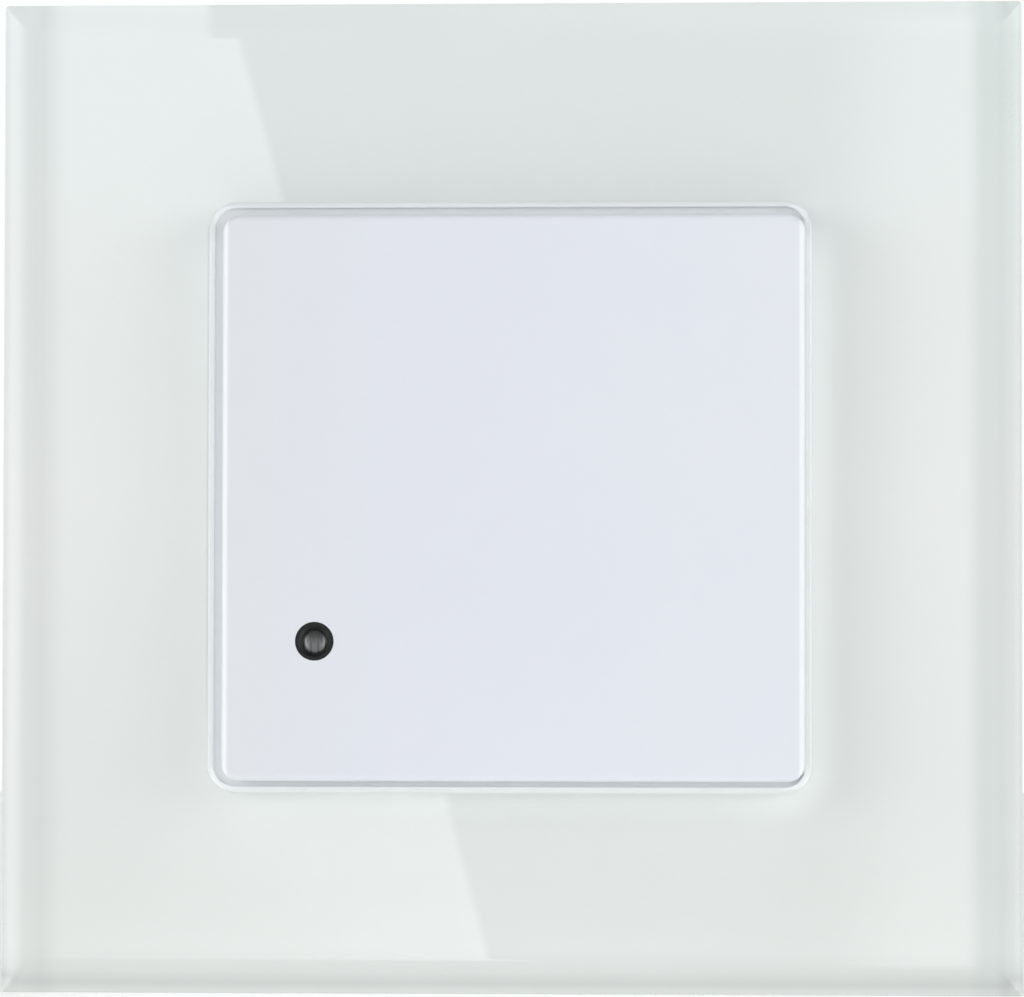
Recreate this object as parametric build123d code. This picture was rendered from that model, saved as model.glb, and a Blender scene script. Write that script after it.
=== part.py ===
from build123d import *
import os

# Flush-mounted microwave motion sensor with a glass cover frame.
# Millimetres. +X right, +Z up, the room lies towards -Y. The wall face is the plane y = 0 and the
# origin is the centre of the support ring's back. Depths are counted out of the wall: positive
# towards the room, negative into the wall box.

# Glass panel of the cover frame
GLASS_WIDTH = 96.2
GLASS_HEIGHT = 93.5
GLASS_FRONT = 9.5
GLASS_THICKNESS = 4.0
GLASS_BACK = GLASS_FRONT - GLASS_THICKNESS
GLASS_ROUND_WIDTH = 3.2
GLASS_ROUND_DROP = 1.2
GLASS_BACK_ARRIS = 0.4
GLASS_GAP = 0.15

# Layers behind the glass
LACQUER_INSET = 0.9
LACQUER_THICKNESS = 0.1
TAPE_THICKNESS = 0.4
TAPE_WIDTH = 10.0
TAPE_LENGTH = 78.0
TAPE_CLEAR = 1.0

# Centre plate
PLATE_WIDTH = 54.8
PLATE_HEIGHT = 53.3
PLATE_FRONT = 11.5
PLATE_THICKNESS = 1.6
PLATE_CORNER = 1.7
PLATE_EDGE = 0.55
PLATE_WALL = 1.3
PLATE_INNER_CORNER = 0.6
PLATE_SHIFT_X = 0.4
PLATE_SHIFT_Z = -0.11
SKIRT_BACK = 9.4

# Collar round the plate, and the carrier it belongs to
COLLAR_WIDTH = 56.8
COLLAR_HEIGHT = 55.6
COLLAR_WALL = 0.55
COLLAR_FRONT = 10.0
COLLAR_CORNER = 2.6
COLLAR_EDGE = 0.18
CARRIER_INSET = 2.5
CARRIER_WEB = 1.6
CARRIER_RIM = 1.6
CARRIER_CORNER = 1.6
CARRIER_FRONT = GLASS_BACK - LACQUER_THICKNESS - TAPE_THICKNESS
CARRIER_WEB_BACK = CARRIER_FRONT - CARRIER_WEB
LEDGE_WIDTH = 51.8
LEDGE_HEIGHT = 50.6
LEDGE_CORNER = 1.0
LEDGE_FRONT = 9.3
RIB_THICKNESS = 1.2
RIB_PLACE = 15.0
RIB_INNER = 36.0

# Light sensor
SENSOR_X = -18.62 + PLATE_SHIFT_X
SENSOR_Z = -13.52 + PLATE_SHIFT_Z
BEZEL_RADIUS = 1.825
BEZEL_BORE = 1.2
BEZEL_RECESS = 0.1
BEZEL_BACK = 7.7
BEZEL_FLANGE_RADIUS = 2.5
BEZEL_FLANGE = 0.6
BEZEL_FUNNEL = 0.3
SENSOR_BOSS_RADIUS = 3.0
LENS_RADIUS = 1.18
LENS_BACK = 8.6
LENS_FRONT = 11.2
LENS_DOME = 0.35
CELL_RADIUS = 2.15
CELL_BACK = 5.4
CELL_FRONT = 7.3
LEAD_RADIUS = 0.25
LEAD_PITCH = 2.0
LEAD_END = 0.5

# Support ring
RING_SIZE = 71.0
RING_THICKNESS = 1.0
RING_CORNER = 7.0
RING_OPENING_WIDTH = 38.0
RING_OPENING_HEIGHT = 28.0
RING_OPENING_CORNER = 2.0
BOX_SCREW_PITCH = 60.0
BOX_SLOT_LENGTH = 6.5
BOX_SLOT_WIDTH = 3.6
RING_WINDOW = 5.0
RING_WINDOW_PLACE = 26.0
RING_WINDOW_CORNER = 1.0
RING_NOTCH_WIDTH = 6.0
RING_NOTCH_DEPTH = 1.2

# Front housing, in front of the ring
FRONT_WIDTH = 51.0
FRONT_HEIGHT = 49.8
FRONT_CORNER = 2.0
FRONT_FACE = 7.5
FRONT_WALL = 1.5
FRONT_INNER = FRONT_FACE - FRONT_WALL
FRONT_SIDE = 1.3
NOTCH_WIDTH = 7.6
NOTCH_BOTTOM = 20.3
RADOME_THICKNESS = 0.8
RADOME_WIDTH = 27.6
RADOME_HEIGHT = 14.0
RADOME_CORNER = 1.0
RADOME_X = -4.8
RADOME_Z = 6.0
SENSOR_PORT_RADIUS = 2.7

# Snap fingers of the centre plate and their slots
FINGER_X = 23.25
FINGER_Z = 12.0
FINGER_THICKNESS = 1.1
FINGER_WIDTH = 7.0
FINGER_TIP = 3.0
FINGER_CHAMFER = 0.4
SLOT_CLEARANCE_X = 0.4
SLOT_CLEARANCE_Z = 0.3

# Screws that join the two housings through the ring
SCREW_SIDE = 21.5
SCREW_TOP = 16.8
SCREW_POST_RADIUS = 2.5
SCREW_SHANK = 1.2
SCREW_HEAD_RADIUS = 2.2
SCREW_HEAD = 1.3
SCREW_SEAT = 6.1
SCREW_SINK_RADIUS = 2.4
SCREW_END = -8.0
SCREW_CORE = 1.22
SCREW_CLEARANCE = 1.45
SCREW_SLOT_WIDTH = 0.7
SCREW_SLOT_DEPTH = 0.6
SCREW_SLOT_SHARE = 0.7
CROSS_TURNS = (0, 90)

# Rear housing, in the wall box
CUP_RADIUS = 25.5
CUP_FLAT = 20.0
CUP_WALL = 1.5
CUP_BACK = -29.0
CUP_FLOOR = CUP_BACK + CUP_WALL
CUP_BACK_EDGE = 0.9
CUP_BOSS_RADIUS = 2.4
CUP_BOSS_WEB = 1.0
BOARD_RIB_INNER = 21.8
BOARD_RIB_OUTER = 23.5
BOARD_RIB_Z = 7.0
BOARD_RIB_THICKNESS = 2.0
PLATE_FIELD_WIDTH = 30.0
PLATE_FIELD_HEIGHT = 13.0
PLATE_FIELD_CORNER = 1.0
PLATE_FIELD_DEPTH = 0.3
PLATE_FIELD_Z = 8.0

# Radar board
RADAR_BOARD_WIDTH = 44.0
RADAR_BOARD_HEIGHT = 37.0
RADAR_BOARD_FRONT = 4.4
RADAR_BOARD_CORNER = 1.0
BOARD_THICKNESS = 1.0
RADAR_BOARD_BACK = RADAR_BOARD_FRONT - BOARD_THICKNESS
BOARD_GAP = 0.3
STAKE_X = 9.5
STAKE_Z = 16.2
STAKE_RADIUS = 0.75
STAKE_COLLAR = 1.5
STAKE_END = 3.0
PATCH_SIZE = 12.0
PATCH_THICKNESS = 0.1
PATCH_CENTRES = (-12.0, 2.5)
FEED_LENGTH = 3.0
FEED_HALF = 0.5
CAN_WIDTH = 24.0
CAN_HEIGHT = 15.0
CAN_DEPTH = 2.2
CAN_WALL = 0.3
CAN_CORNER = 0.8
CAN_X = -5.0
CAN_Z = 4.0
TRANSISTOR_WIDTH = 2.0
TRANSISTOR_HEIGHT = 1.3
TRANSISTOR_DEPTH = 1.0
TRANSISTOR_LEGS = 2
CONTROLLER_Z = -7.4
CONTROLLER_WIDTH = 6.5
CONTROLLER_HEIGHT = 4.4
CONTROLLER_DEPTH = 1.2
CONTROLLER_LEGS = 8
CHIP_LEG = 0.3
CHIP_FOOT = 0.8
CHIP_STANDOFF = 0.1

# Setting trimmers
TRIMMER_X = 14.5
TRIMMER_PITCH = 11.0
TRIMMER_SIZE = 5.0
TRIMMER_CORNER = 0.4
TRIMMER_BASE = 1.4
TRIMMER_ROTOR_RADIUS = 1.8
TRIMMER_SHAFT_RADIUS = 0.8
TRIMMER_SHAFT = 1.0
TRIMMER_FIT = 0.05
TRIMMER_GAP = 0.05
TRIMMER_FACE = 6.9
TRIMMER_WINDOW_RADIUS = 2.3
ARROW_WIDTH = 0.6
ARROW_LENGTH = 2.6
ARROW_DEPTH = 0.5
TRIMMER_NAMES = ("trimmer_rotor_range", "trimmer_rotor_light", "trimmer_rotor_time")

# Header between the boards
HEADER_Z = -12.0
HEADER_PINS = 8
HEADER_PITCH = 2.54
HEADER_WIDTH = 2.5
HEADER_PIN = 0.64
SOCKET_DEPTH = 8.5
SOCKET_HOLE = 0.74
PIN_BASE = 2.5
PIN_TIP = -1.5

# Power board and what stands on it
POWER_BOARD_FRONT = -12.2
POWER_BOARD_THICKNESS = 1.6
POWER_BOARD_BACK = POWER_BOARD_FRONT - POWER_BOARD_THICKNESS
POWER_BOARD_RADIUS = 23.5
POWER_BOARD_FLAT = 18.0

# Relay
RELAY_X = -7.5
RELAY_Z = 9.5
RELAY_WIDTH = 19.0
RELAY_HEIGHT = 10.6
RELAY_DEPTH = 12.6
RELAY_WALL = 0.8
RELAY_CORNER = 0.8
RELAY_INNER_CORNER = 0.3
COIL_DEPTH = -19.6
COIL_FLANGE = 6.4
COIL_RADIUS = 2.9
COIL_LEFT = -11.8
COIL_RIGHT = -1.2
COIL_FLANGE_THICKNESS = 0.8
CORE_RADIUS = 1.2
CORE_LEFT = -12.4
YOKE_THICKNESS = 1.0
YOKE_LEFT = -12.8
YOKE_RIGHT = 0.2
YOKE_FRONT = -15.2
YOKE_BACK = -24.0
YOKE_HEIGHT = 6.0
ARMATURE_RIGHT = -13.1
ARMATURE_THICKNESS = 0.9
ARMATURE_PIVOT = -15.55
ARMATURE_BACK = -25.4
CONTACT_RADIUS = 0.8
CONTACT_BLADE = 0.3
CONTACT_WIDTH = 2.0
CONTACT_DEPTH = -24.75
CONTACT_LEFT = -12.0
CONTACT_RIGHT = 0.9
CONTACT_BEAD = 0.4

# Other parts on the power board: centre x, centre z, and sizes
SMOOTHING_X = 9.5
SMOOTHING_Z = 11.0
SMOOTHING_RADIUS = 5.0
SMOOTHING_LENGTH = 12.5
SMOOTHING_EDGE = 0.6
FILM_X = 9.0
FILM_Z = 1.2
FILM_WIDTH = 12.0
FILM_HEIGHT = 6.0
FILM_LENGTH = 11.0
FILM_CORNER = 0.6
VARISTOR_X = -3.0
VARISTOR_RADIUS = 4.5
VARISTOR_THICKNESS = 3.6
VARISTOR_STANDOFF = 1.0
FUSE_X = -15.5
FUSE_RADIUS = 1.8
FUSE_LENGTH = 10.0
FUSE_CAP = 2.2
FUSE_STEP = 0.2
FUSE_STANDOFF = 2.6
INDUCTOR_X = 19.0
INDUCTOR_Z = 1.2
INDUCTOR_RADIUS = 2.9
INDUCTOR_FLANGE = 0.8
INDUCTOR_LENGTH = 8.0
INDUCTOR_WAIST = 2.2
RECTIFIER_X = 10.0
RECTIFIER_Z = 8.0
RECTIFIER_WIDTH = 6.4
RECTIFIER_HEIGHT = 5.0
RECTIFIER_DEPTH = 2.4
RECTIFIER_LEGS = 2
REGULATOR_X = -9.0
REGULATOR_Z = 8.0
REGULATOR_WIDTH = 5.0
REGULATOR_HEIGHT = 4.0
REGULATOR_DEPTH = 1.5
REGULATOR_LEGS = 4
CHIP_LENGTH = 1.6
CHIP_WIDTH = 0.8
CHIP_HEIGHT = 0.5
CHIP_PITCH = 2.4
RADAR_ROW_STARTS = (-13.5, 7.0)
RADAR_ROW_COUNTS = (4, 3)
POWER_ROW_STARTS = (-8.0, 7.0)
POWER_ROW_COUNTS = (5, 4)

# Terminals
TERMINAL_PLACES = (-13.7, -7.3, 7.3, 13.7)
TERMINAL_DEPTH = -22.4
BLOCK_HALF = 6.7
BLOCK_CENTRE = 10.5
BLOCK_BOTTOM = -16.4
BLOCK_TOP = -2.2
BLOCK_FRONT = POWER_BOARD_BACK - 0.1
BLOCK_BACK = CUP_FLOOR + 0.1
BLOCK_NECK_TOP = -14.0
CELL_HALF = 2.95
CELL_TOP = -3.2
CELL_FRONT_WALL = -18.8
CELL_BACK_WALL = -26.0
CAGE_HALF = 2.7
CAGE_WALL = 0.65
CAGE_BOTTOM = -10.2
CAGE_TOP = -3.4
CAGE_FLOOR = 1.6
CAGE_ROOF = 0.8
CAGE_HALF_DEPTH = 3.3
TERMINAL_SHANK = 1.45
TERMINAL_HEAD_RADIUS = 1.9
TERMINAL_HEAD_BOTTOM = -16.1
TERMINAL_HEAD_TOP = -14.8
TERMINAL_TIP = -8.6
TERMINAL_HEAD_HOLE = 2.05
TERMINAL_NECK_HOLE = 1.6
TERMINAL_FIT = 0.05
BAR_BOTTOM = -8.5
BAR_TOP = -7.6
BAR_HALF = 1.9
BAR_BACK = -25.4
BAR_STEP = -16.0
BAR_PIN_HALF = 0.6
BAR_TIP = -11.6
BAR_GAP = 0.1
WIRE_WIDTH = 3.6
WIRE_HEIGHT = 3.2
WIRE_Z = -5.95
WIRE_MOUTH = 0.5
WIRE_MOUTH_ANGLE = 45

# Spreading claws
CLAW_Z = 23.4
CLAW_SCREW_RADIUS = 1.5
CLAW_SCREW_TIP = -26.5
CLAW_HEAD_RADIUS = 2.6
CLAW_HEAD = 1.8
CLAW_SLOT_SHARE = 0.75
CLAW_HOLE_RADIUS = 1.65
CLAW_FIT = 0.05
CLAW_PIVOT_DEPTH = -21.0
NUT_HALF_WIDTH = 2.8
NUT_HALF_HEIGHT = 2.6
NUT_HALF_DEPTH = 2.0
TRUNNION_RADIUS = 1.0
TRUNNION_LENGTH = 1.4
CHEEK_INNER = 3.1
CHEEK_THICKNESS = 1.0
CHEEK_LOW = -1.9
CHEEK_TAIL_RADIUS = 2.3
CHEEK_WEB = 2.07
CLAW_ROOF_LOW = 2.9
CLAW_ROOF = 1.0
CLAW_ROOF_START = 3.2
CLAW_REACH = 13.0
TOOTH_HEIGHT = 0.9
TOOTH_COUNT = 4
TOOTH_WIDTH = 1.1

# Play between parts of one body that only lie close to each other
SNUG = 0.1

# How far a cutter runs past what it cuts, and how near two depths are taken as the same
PAST = 1.0
SAME_DEPTH = 0.001

# The two signs for what is repeated on both sides of a centre line
BOTH_SIDES = (-1, 1)


def block(x0, x1, back, front, z0, z1):
    """A box between two x, two depths out of the wall and two z."""
    shape = Box(x1 - x0, front - back, z1 - z0)
    return Pos((x0 + x1) / 2, -(back + front) / 2, (z0 + z1) / 2) * shape


def upright(sketch, back, front, x=0.0, z=0.0):
    """A sketch drawn as seen from the room, given depth from back to front."""
    return Pos(x, -back, z) * Rot(90, 0, 0) * extrude(sketch, front - back)


def slab(width, height, corner, back, front, x=0.0, z=0.0):
    """A plate parallel to the wall, with rounded corners."""
    return upright(RectangleRounded(width, height, corner), back, front, x, z)


def rod(radius, back, front, x=0.0, z=0.0):
    """A round bar square to the wall."""
    return upright(Circle(radius), back, front, x, z)


def rod_up(radius, bottom, top, x, depth):
    """A round bar that stands along z."""
    return Pos(x, -depth, (bottom + top) / 2) * Cylinder(radius, top - bottom)


def rod_across(radius, x0, x1, depth, z):
    """A round bar along x."""
    return Pos((x0 + x1) / 2, -depth, z) * Rot(0, 90, 0) * Cylinder(radius, x1 - x0)


def save(name, *solids):
    """Write one piece, or one group of separate like pieces, to its file."""
    shape = solids[0] if len(solids) == 1 else Compound(children=list(solids))
    shape.label = name
    export_step(shape, f"parts/{name}.step")


def edges_at_depth(shape, depth):
    """The edges that lie wholly in the plane at one depth."""
    return shape.edges().filter_by_position(Axis.Y, -depth - SAME_DEPTH, -depth + SAME_DEPTH)


def screw_places():
    """The x and z of the four screws that join the housings."""
    return [(-SCREW_SIDE, 0.0), (SCREW_SIDE, 0.0), (0.0, -SCREW_TOP), (0.0, SCREW_TOP)]


# Glass cover frame


def rounded_bar(width, length):
    """A bar of the glass's section: flat front, arcs that fall away at both long edges."""
    half = width / 2
    flat = half - GLASS_ROUND_WIDTH
    shoulder = GLASS_FRONT - GLASS_ROUND_DROP
    arc_radius = (GLASS_ROUND_WIDTH**2 + GLASS_ROUND_DROP**2) / (2 * GLASS_ROUND_DROP)
    half_step = GLASS_ROUND_WIDTH / 2
    half_drop = arc_radius - (arc_radius**2 - half_step**2) ** 0.5
    arris = GLASS_BACK + GLASS_BACK_ARRIS
    foot = half - GLASS_BACK_ARRIS
    outline = (
        Line((-flat, GLASS_FRONT), (flat, GLASS_FRONT))
        + ThreePointArc((flat, GLASS_FRONT), (flat + half_step, GLASS_FRONT - half_drop), (half, shoulder))
        + Line((half, shoulder), (half, arris))
        + Line((half, arris), (foot, GLASS_BACK))
        + Line((foot, GLASS_BACK), (-foot, GLASS_BACK))
        + Line((-foot, GLASS_BACK), (-half, arris))
        + Line((-half, arris), (-half, shoulder))
        + ThreePointArc(
            (-half, shoulder), (-flat - half_step, GLASS_FRONT - half_drop), (-flat, GLASS_FRONT)
        )
    )
    bar = extrude(make_face(outline), length / 2, both=True)
    return Rot(180, 0, 0) * bar


def glass_panel():
    """Two bars of the same section crossed, which mitres the rounding at the corners."""
    lying = rounded_bar(GLASS_WIDTH, GLASS_HEIGHT)
    standing = Rot(0, 90, 0) * rounded_bar(GLASS_HEIGHT, GLASS_WIDTH)
    pane = lying & standing
    opening_corner = COLLAR_CORNER + GLASS_GAP
    opening = slab(
        COLLAR_WIDTH + 2 * GLASS_GAP,
        COLLAR_HEIGHT + 2 * GLASS_GAP,
        opening_corner,
        GLASS_BACK - PAST,
        GLASS_FRONT + PAST,
    )
    return pane - opening


def lacquer_film():
    """White coat on the back of the glass."""
    back = GLASS_BACK - LACQUER_THICKNESS
    width = GLASS_WIDTH - 2 * LACQUER_INSET
    height = GLASS_HEIGHT - 2 * LACQUER_INSET
    coat = block(-width / 2, width / 2, back, GLASS_BACK, -height / 2, height / 2)
    edge = 2 * GLASS_GAP + 2 * SNUG
    corner = COLLAR_CORNER + edge / 2
    return coat - slab(
        COLLAR_WIDTH + edge, COLLAR_HEIGHT + edge, corner, back - PAST, GLASS_BACK + PAST
    )


def bonding_tape():
    """Four strips round the opening, between the coat and the carrier."""
    front = GLASS_BACK - LACQUER_THICKNESS
    inner_x = COLLAR_WIDTH / 2 + TAPE_CLEAR
    inner_z = COLLAR_HEIGHT / 2 + TAPE_CLEAR
    strips = []
    for side in BOTH_SIDES:
        near, far = sorted((side * inner_z, side * (inner_z + TAPE_WIDTH)))
        strips.append(block(-TAPE_LENGTH / 2, TAPE_LENGTH / 2, CARRIER_FRONT, front, near, far))
        near, far = sorted((side * inner_x, side * (inner_x + TAPE_WIDTH)))
        strips.append(block(near, far, CARRIER_FRONT, front, -inner_z + SNUG, inner_z - SNUG))
    return strips


def carrier_ribs(width, height):
    """Ribs under the web, outside the support ring, that centre the frame on it."""
    ribs = []
    for side in BOTH_SIDES:
        for place in (-RIB_PLACE, RIB_PLACE):
            low, high = place - RIB_THICKNESS / 2, place + RIB_THICKNESS / 2
            x0, x1 = sorted((side * RIB_INNER, side * (width / 2 - CARRIER_RIM / 2)))
            ribs.append(block(x0, x1, 0, CARRIER_WEB_BACK + SNUG, low, high))
            z0, z1 = sorted((side * RIB_INNER, side * (height / 2 - CARRIER_RIM / 2)))
            ribs.append(block(low, high, 0, CARRIER_WEB_BACK + SNUG, z0, z1))
    return ribs


def frame_carrier():
    """Web behind the glass, rim that stands on the wall, and a collar with a ledge under the plate."""
    width = GLASS_WIDTH - 2 * CARRIER_INSET
    height = GLASS_HEIGHT - 2 * CARRIER_INSET
    carrier = slab(width, height, CARRIER_CORNER, 0, CARRIER_FRONT)
    hollow_corner = CARRIER_CORNER / 2
    hollow_width = width - 2 * CARRIER_RIM
    hollow_height = height - 2 * CARRIER_RIM
    carrier -= slab(hollow_width, hollow_height, hollow_corner, -PAST, CARRIER_WEB_BACK)
    for rib in carrier_ribs(width, height):
        carrier += rib
    carrier += slab(COLLAR_WIDTH, COLLAR_HEIGHT, COLLAR_CORNER, CARRIER_WEB_BACK, COLLAR_FRONT)
    inner_width = COLLAR_WIDTH - 2 * COLLAR_WALL
    inner_height = COLLAR_HEIGHT - 2 * COLLAR_WALL
    inner_corner = COLLAR_CORNER - COLLAR_WALL
    carrier -= slab(inner_width, inner_height, inner_corner, LEDGE_FRONT, COLLAR_FRONT + PAST)
    carrier -= slab(LEDGE_WIDTH, LEDGE_HEIGHT, LEDGE_CORNER, -PAST, LEDGE_FRONT + PAST)
    return fillet(edges_at_depth(carrier, COLLAR_FRONT), COLLAR_EDGE)


# Centre plate and light sensor


def centre_plate():
    """Rounded plate with a low skirt, a boss for the bezel and four fingers that hold it."""
    plate = slab(PLATE_WIDTH, PLATE_HEIGHT, PLATE_CORNER, SKIRT_BACK, PLATE_FRONT)
    plate = fillet(edges_at_depth(plate, PLATE_FRONT), PLATE_EDGE)
    inside_width = PLATE_WIDTH - 2 * PLATE_WALL
    inside_height = PLATE_HEIGHT - 2 * PLATE_WALL
    inside_front = PLATE_FRONT - PLATE_THICKNESS
    plate -= slab(
        inside_width, inside_height, PLATE_INNER_CORNER, SKIRT_BACK - PAST, inside_front
    )
    boss_x = SENSOR_X - PLATE_SHIFT_X
    boss_z = SENSOR_Z - PLATE_SHIFT_Z
    flange_front = BEZEL_BACK + BEZEL_FLANGE
    plate += rod(SENSOR_BOSS_RADIUS, flange_front, inside_front + SNUG, boss_x, boss_z)
    plate -= rod(BEZEL_RADIUS, flange_front - PAST, PLATE_FRONT + PAST, boss_x, boss_z)
    for side in BOTH_SIDES:
        for other in BOTH_SIDES:
            # the plate sits off centre in its collar, and its fingers stay centred on the housing
            x = side * FINGER_X - PLATE_SHIFT_X
            z = other * FINGER_Z - PLATE_SHIFT_Z
            finger = block(
                x - FINGER_THICKNESS / 2,
                x + FINGER_THICKNESS / 2,
                FINGER_TIP,
                inside_front + SNUG,
                z - FINGER_WIDTH / 2,
                z + FINGER_WIDTH / 2,
            )
            finger = chamfer(edges_at_depth(finger, FINGER_TIP).filter_by(Axis.Z), FINGER_CHAMFER)
            plate += finger
    return Pos(PLATE_SHIFT_X, 0, PLATE_SHIFT_Z) * plate


def sensor_bezel():
    """Black tube in the plate, with a flange behind and a small funnel in front."""
    front = PLATE_FRONT - BEZEL_RECESS
    tube = rod(BEZEL_RADIUS, BEZEL_BACK, front, SENSOR_X, SENSOR_Z)
    tube += rod(BEZEL_FLANGE_RADIUS, BEZEL_BACK, BEZEL_BACK + BEZEL_FLANGE, SENSOR_X, SENSOR_Z)
    tube -= rod(BEZEL_BORE, BEZEL_BACK - PAST, front + PAST, SENSOR_X, SENSOR_Z)
    mouth = edges_at_depth(tube, front).sort_by(SortBy.RADIUS)[0]
    return chamfer(mouth, BEZEL_FUNNEL)


def sensor_lens():
    """Domed plug of smoked plastic inside the bezel."""
    dome_radius = (LENS_RADIUS**2 + LENS_DOME**2) / (2 * LENS_DOME)
    lens = rod(LENS_RADIUS, LENS_BACK, LENS_FRONT, SENSOR_X, SENSOR_Z)
    dome = Pos(SENSOR_X, -(LENS_FRONT - dome_radius), SENSOR_Z) * Sphere(dome_radius)
    return lens & dome


def light_sensor():
    """Photocell on two leads that go through the radar board."""
    cell = rod(CELL_RADIUS, CELL_BACK, CELL_FRONT, SENSOR_X, SENSOR_Z)
    for side in BOTH_SIDES:
        x = SENSOR_X + side * LEAD_PITCH / 2
        cell += rod(LEAD_RADIUS, RADAR_BOARD_BACK - LEAD_END, CELL_BACK, x, SENSOR_Z)
    return cell


# Support ring and housings


def support_ring():
    """Steel ring on the wall, with slots for the wall box's screws on both centre lines."""
    back, front = -PAST, RING_THICKNESS + PAST
    ring = slab(RING_SIZE, RING_SIZE, RING_CORNER, 0, RING_THICKNESS)
    ring -= slab(RING_OPENING_WIDTH, RING_OPENING_HEIGHT, RING_OPENING_CORNER, back, front)
    half_pitch = BOX_SCREW_PITCH / 2
    edge = RING_SIZE / 2 - RING_NOTCH_DEPTH / 2
    slot = SlotOverall(BOX_SLOT_LENGTH, BOX_SLOT_WIDTH)
    notch = Rectangle(RING_NOTCH_DEPTH, RING_NOTCH_WIDTH)
    for side in BOTH_SIDES:
        ring -= upright(slot, back, front, side * half_pitch, 0)
        ring -= upright(Rot(0, 0, 90) * slot, back, front, 0, side * half_pitch)
        ring -= rod(CLAW_HOLE_RADIUS, back, front, 0, side * CLAW_Z)
        for other in BOTH_SIDES:
            x, z = side * RING_WINDOW_PLACE, other * RING_WINDOW_PLACE
            ring -= slab(RING_WINDOW, RING_WINDOW, RING_WINDOW_CORNER, back, front, x, z)
            ring -= upright(notch, back, front, side * edge, other * RING_WINDOW_PLACE / 2)
    for x, z in screw_places():
        ring -= rod(SCREW_CLEARANCE, back, front, x, z)
    return ring


def claw_notches(width, bottom, back, front):
    """The two recesses in the top and bottom edge that leave the claw screws free."""
    low = block(-width / 2, width / 2, back, front, -FRONT_HEIGHT, -bottom)
    high = block(-width / 2, width / 2, back, front, bottom, FRONT_HEIGHT)
    return low + high


def housing_front():
    """Shallow box in front of the ring: radome, ports, screw posts and stakes for the board."""
    back = RING_THICKNESS
    past_face = FRONT_FACE + PAST
    through_wall = FRONT_INNER - PAST
    shell = slab(FRONT_WIDTH, FRONT_HEIGHT, FRONT_CORNER, back, FRONT_FACE)
    shell -= claw_notches(NOTCH_WIDTH, NOTCH_BOTTOM, back - PAST, past_face)
    inner_width = FRONT_WIDTH - 2 * FRONT_SIDE
    inner_height = FRONT_HEIGHT - 2 * FRONT_SIDE
    cavity = slab(inner_width, inner_height, FRONT_CORNER - FRONT_SIDE, back - PAST, FRONT_INNER)
    cavity -= claw_notches(
        NOTCH_WIDTH + 2 * FRONT_SIDE, NOTCH_BOTTOM - FRONT_SIDE, back - PAST, FRONT_INNER
    )
    cavity += slab(
        RADOME_WIDTH,
        RADOME_HEIGHT,
        RADOME_CORNER,
        through_wall,
        FRONT_FACE - RADOME_THICKNESS,
        RADOME_X,
        RADOME_Z,
    )
    shell -= cavity
    for x, z in screw_places():
        shell += rod(SCREW_POST_RADIUS, back, SCREW_SEAT, x, z)
        shell -= rod(SCREW_CLEARANCE, back - PAST, past_face, x, z)
        shell -= rod(SCREW_SINK_RADIUS, SCREW_SEAT, past_face, x, z)
    finger_slot = Rectangle(FINGER_THICKNESS + 2 * SLOT_CLEARANCE_X, FINGER_WIDTH + 2 * SLOT_CLEARANCE_Z)
    for side in BOTH_SIDES:
        for other in BOTH_SIDES:
            x, z = side * STAKE_X, other * STAKE_Z
            shell += rod(STAKE_COLLAR, RADAR_BOARD_FRONT, FRONT_INNER + SNUG, x, z)
            shell += rod(STAKE_RADIUS, STAKE_END, FRONT_INNER, x, z)
            shell -= upright(finger_slot, through_wall, past_face, side * FINGER_X, other * FINGER_Z)
    shell -= rod(SENSOR_PORT_RADIUS, through_wall, past_face, SENSOR_X, SENSOR_Z)
    for z in trimmer_places():
        shell -= rod(TRIMMER_WINDOW_RADIUS, through_wall, past_face, TRIMMER_X, z)
    return shell


def flattened_disc(radius, flat, back, front):
    """A disc cut off flat above and below."""
    disc = rod(radius, back, front)
    return disc & block(-radius, radius, back, front, -flat, flat)


def screw_boss(x, z):
    """A boss for one housing screw, with a web out to the middle of the cup's wall."""
    boss = rod(CUP_BOSS_RADIUS, POWER_BOARD_FRONT, 0, x, z)
    outward = 1 if x + z > 0 else -1
    half = CUP_BOSS_WEB
    if x:
        near, far = sorted((x, outward * (CUP_RADIUS - CUP_WALL / 2)))
        return boss + block(near, far, POWER_BOARD_FRONT, 0, -half, half)
    near, far = sorted((z, outward * (CUP_FLAT - CUP_WALL / 2)))
    return boss + block(-half, half, POWER_BOARD_FRONT, 0, near, far)


def wire_port(x):
    """The way in for one wire: a straight port with a bevelled mouth."""
    port = upright(Rectangle(WIRE_WIDTH, WIRE_HEIGHT), CUP_BACK - PAST, CUP_FLOOR + PAST, x, WIRE_Z)
    mouth = Rectangle(WIRE_WIDTH + 2 * WIRE_MOUTH, WIRE_HEIGHT + 2 * WIRE_MOUTH)
    bevel = Pos(x, -CUP_BACK, WIRE_Z) * Rot(90, 0, 0) * extrude(mouth, WIRE_MOUTH, taper=WIRE_MOUTH_ANGLE)
    return port + bevel


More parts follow.
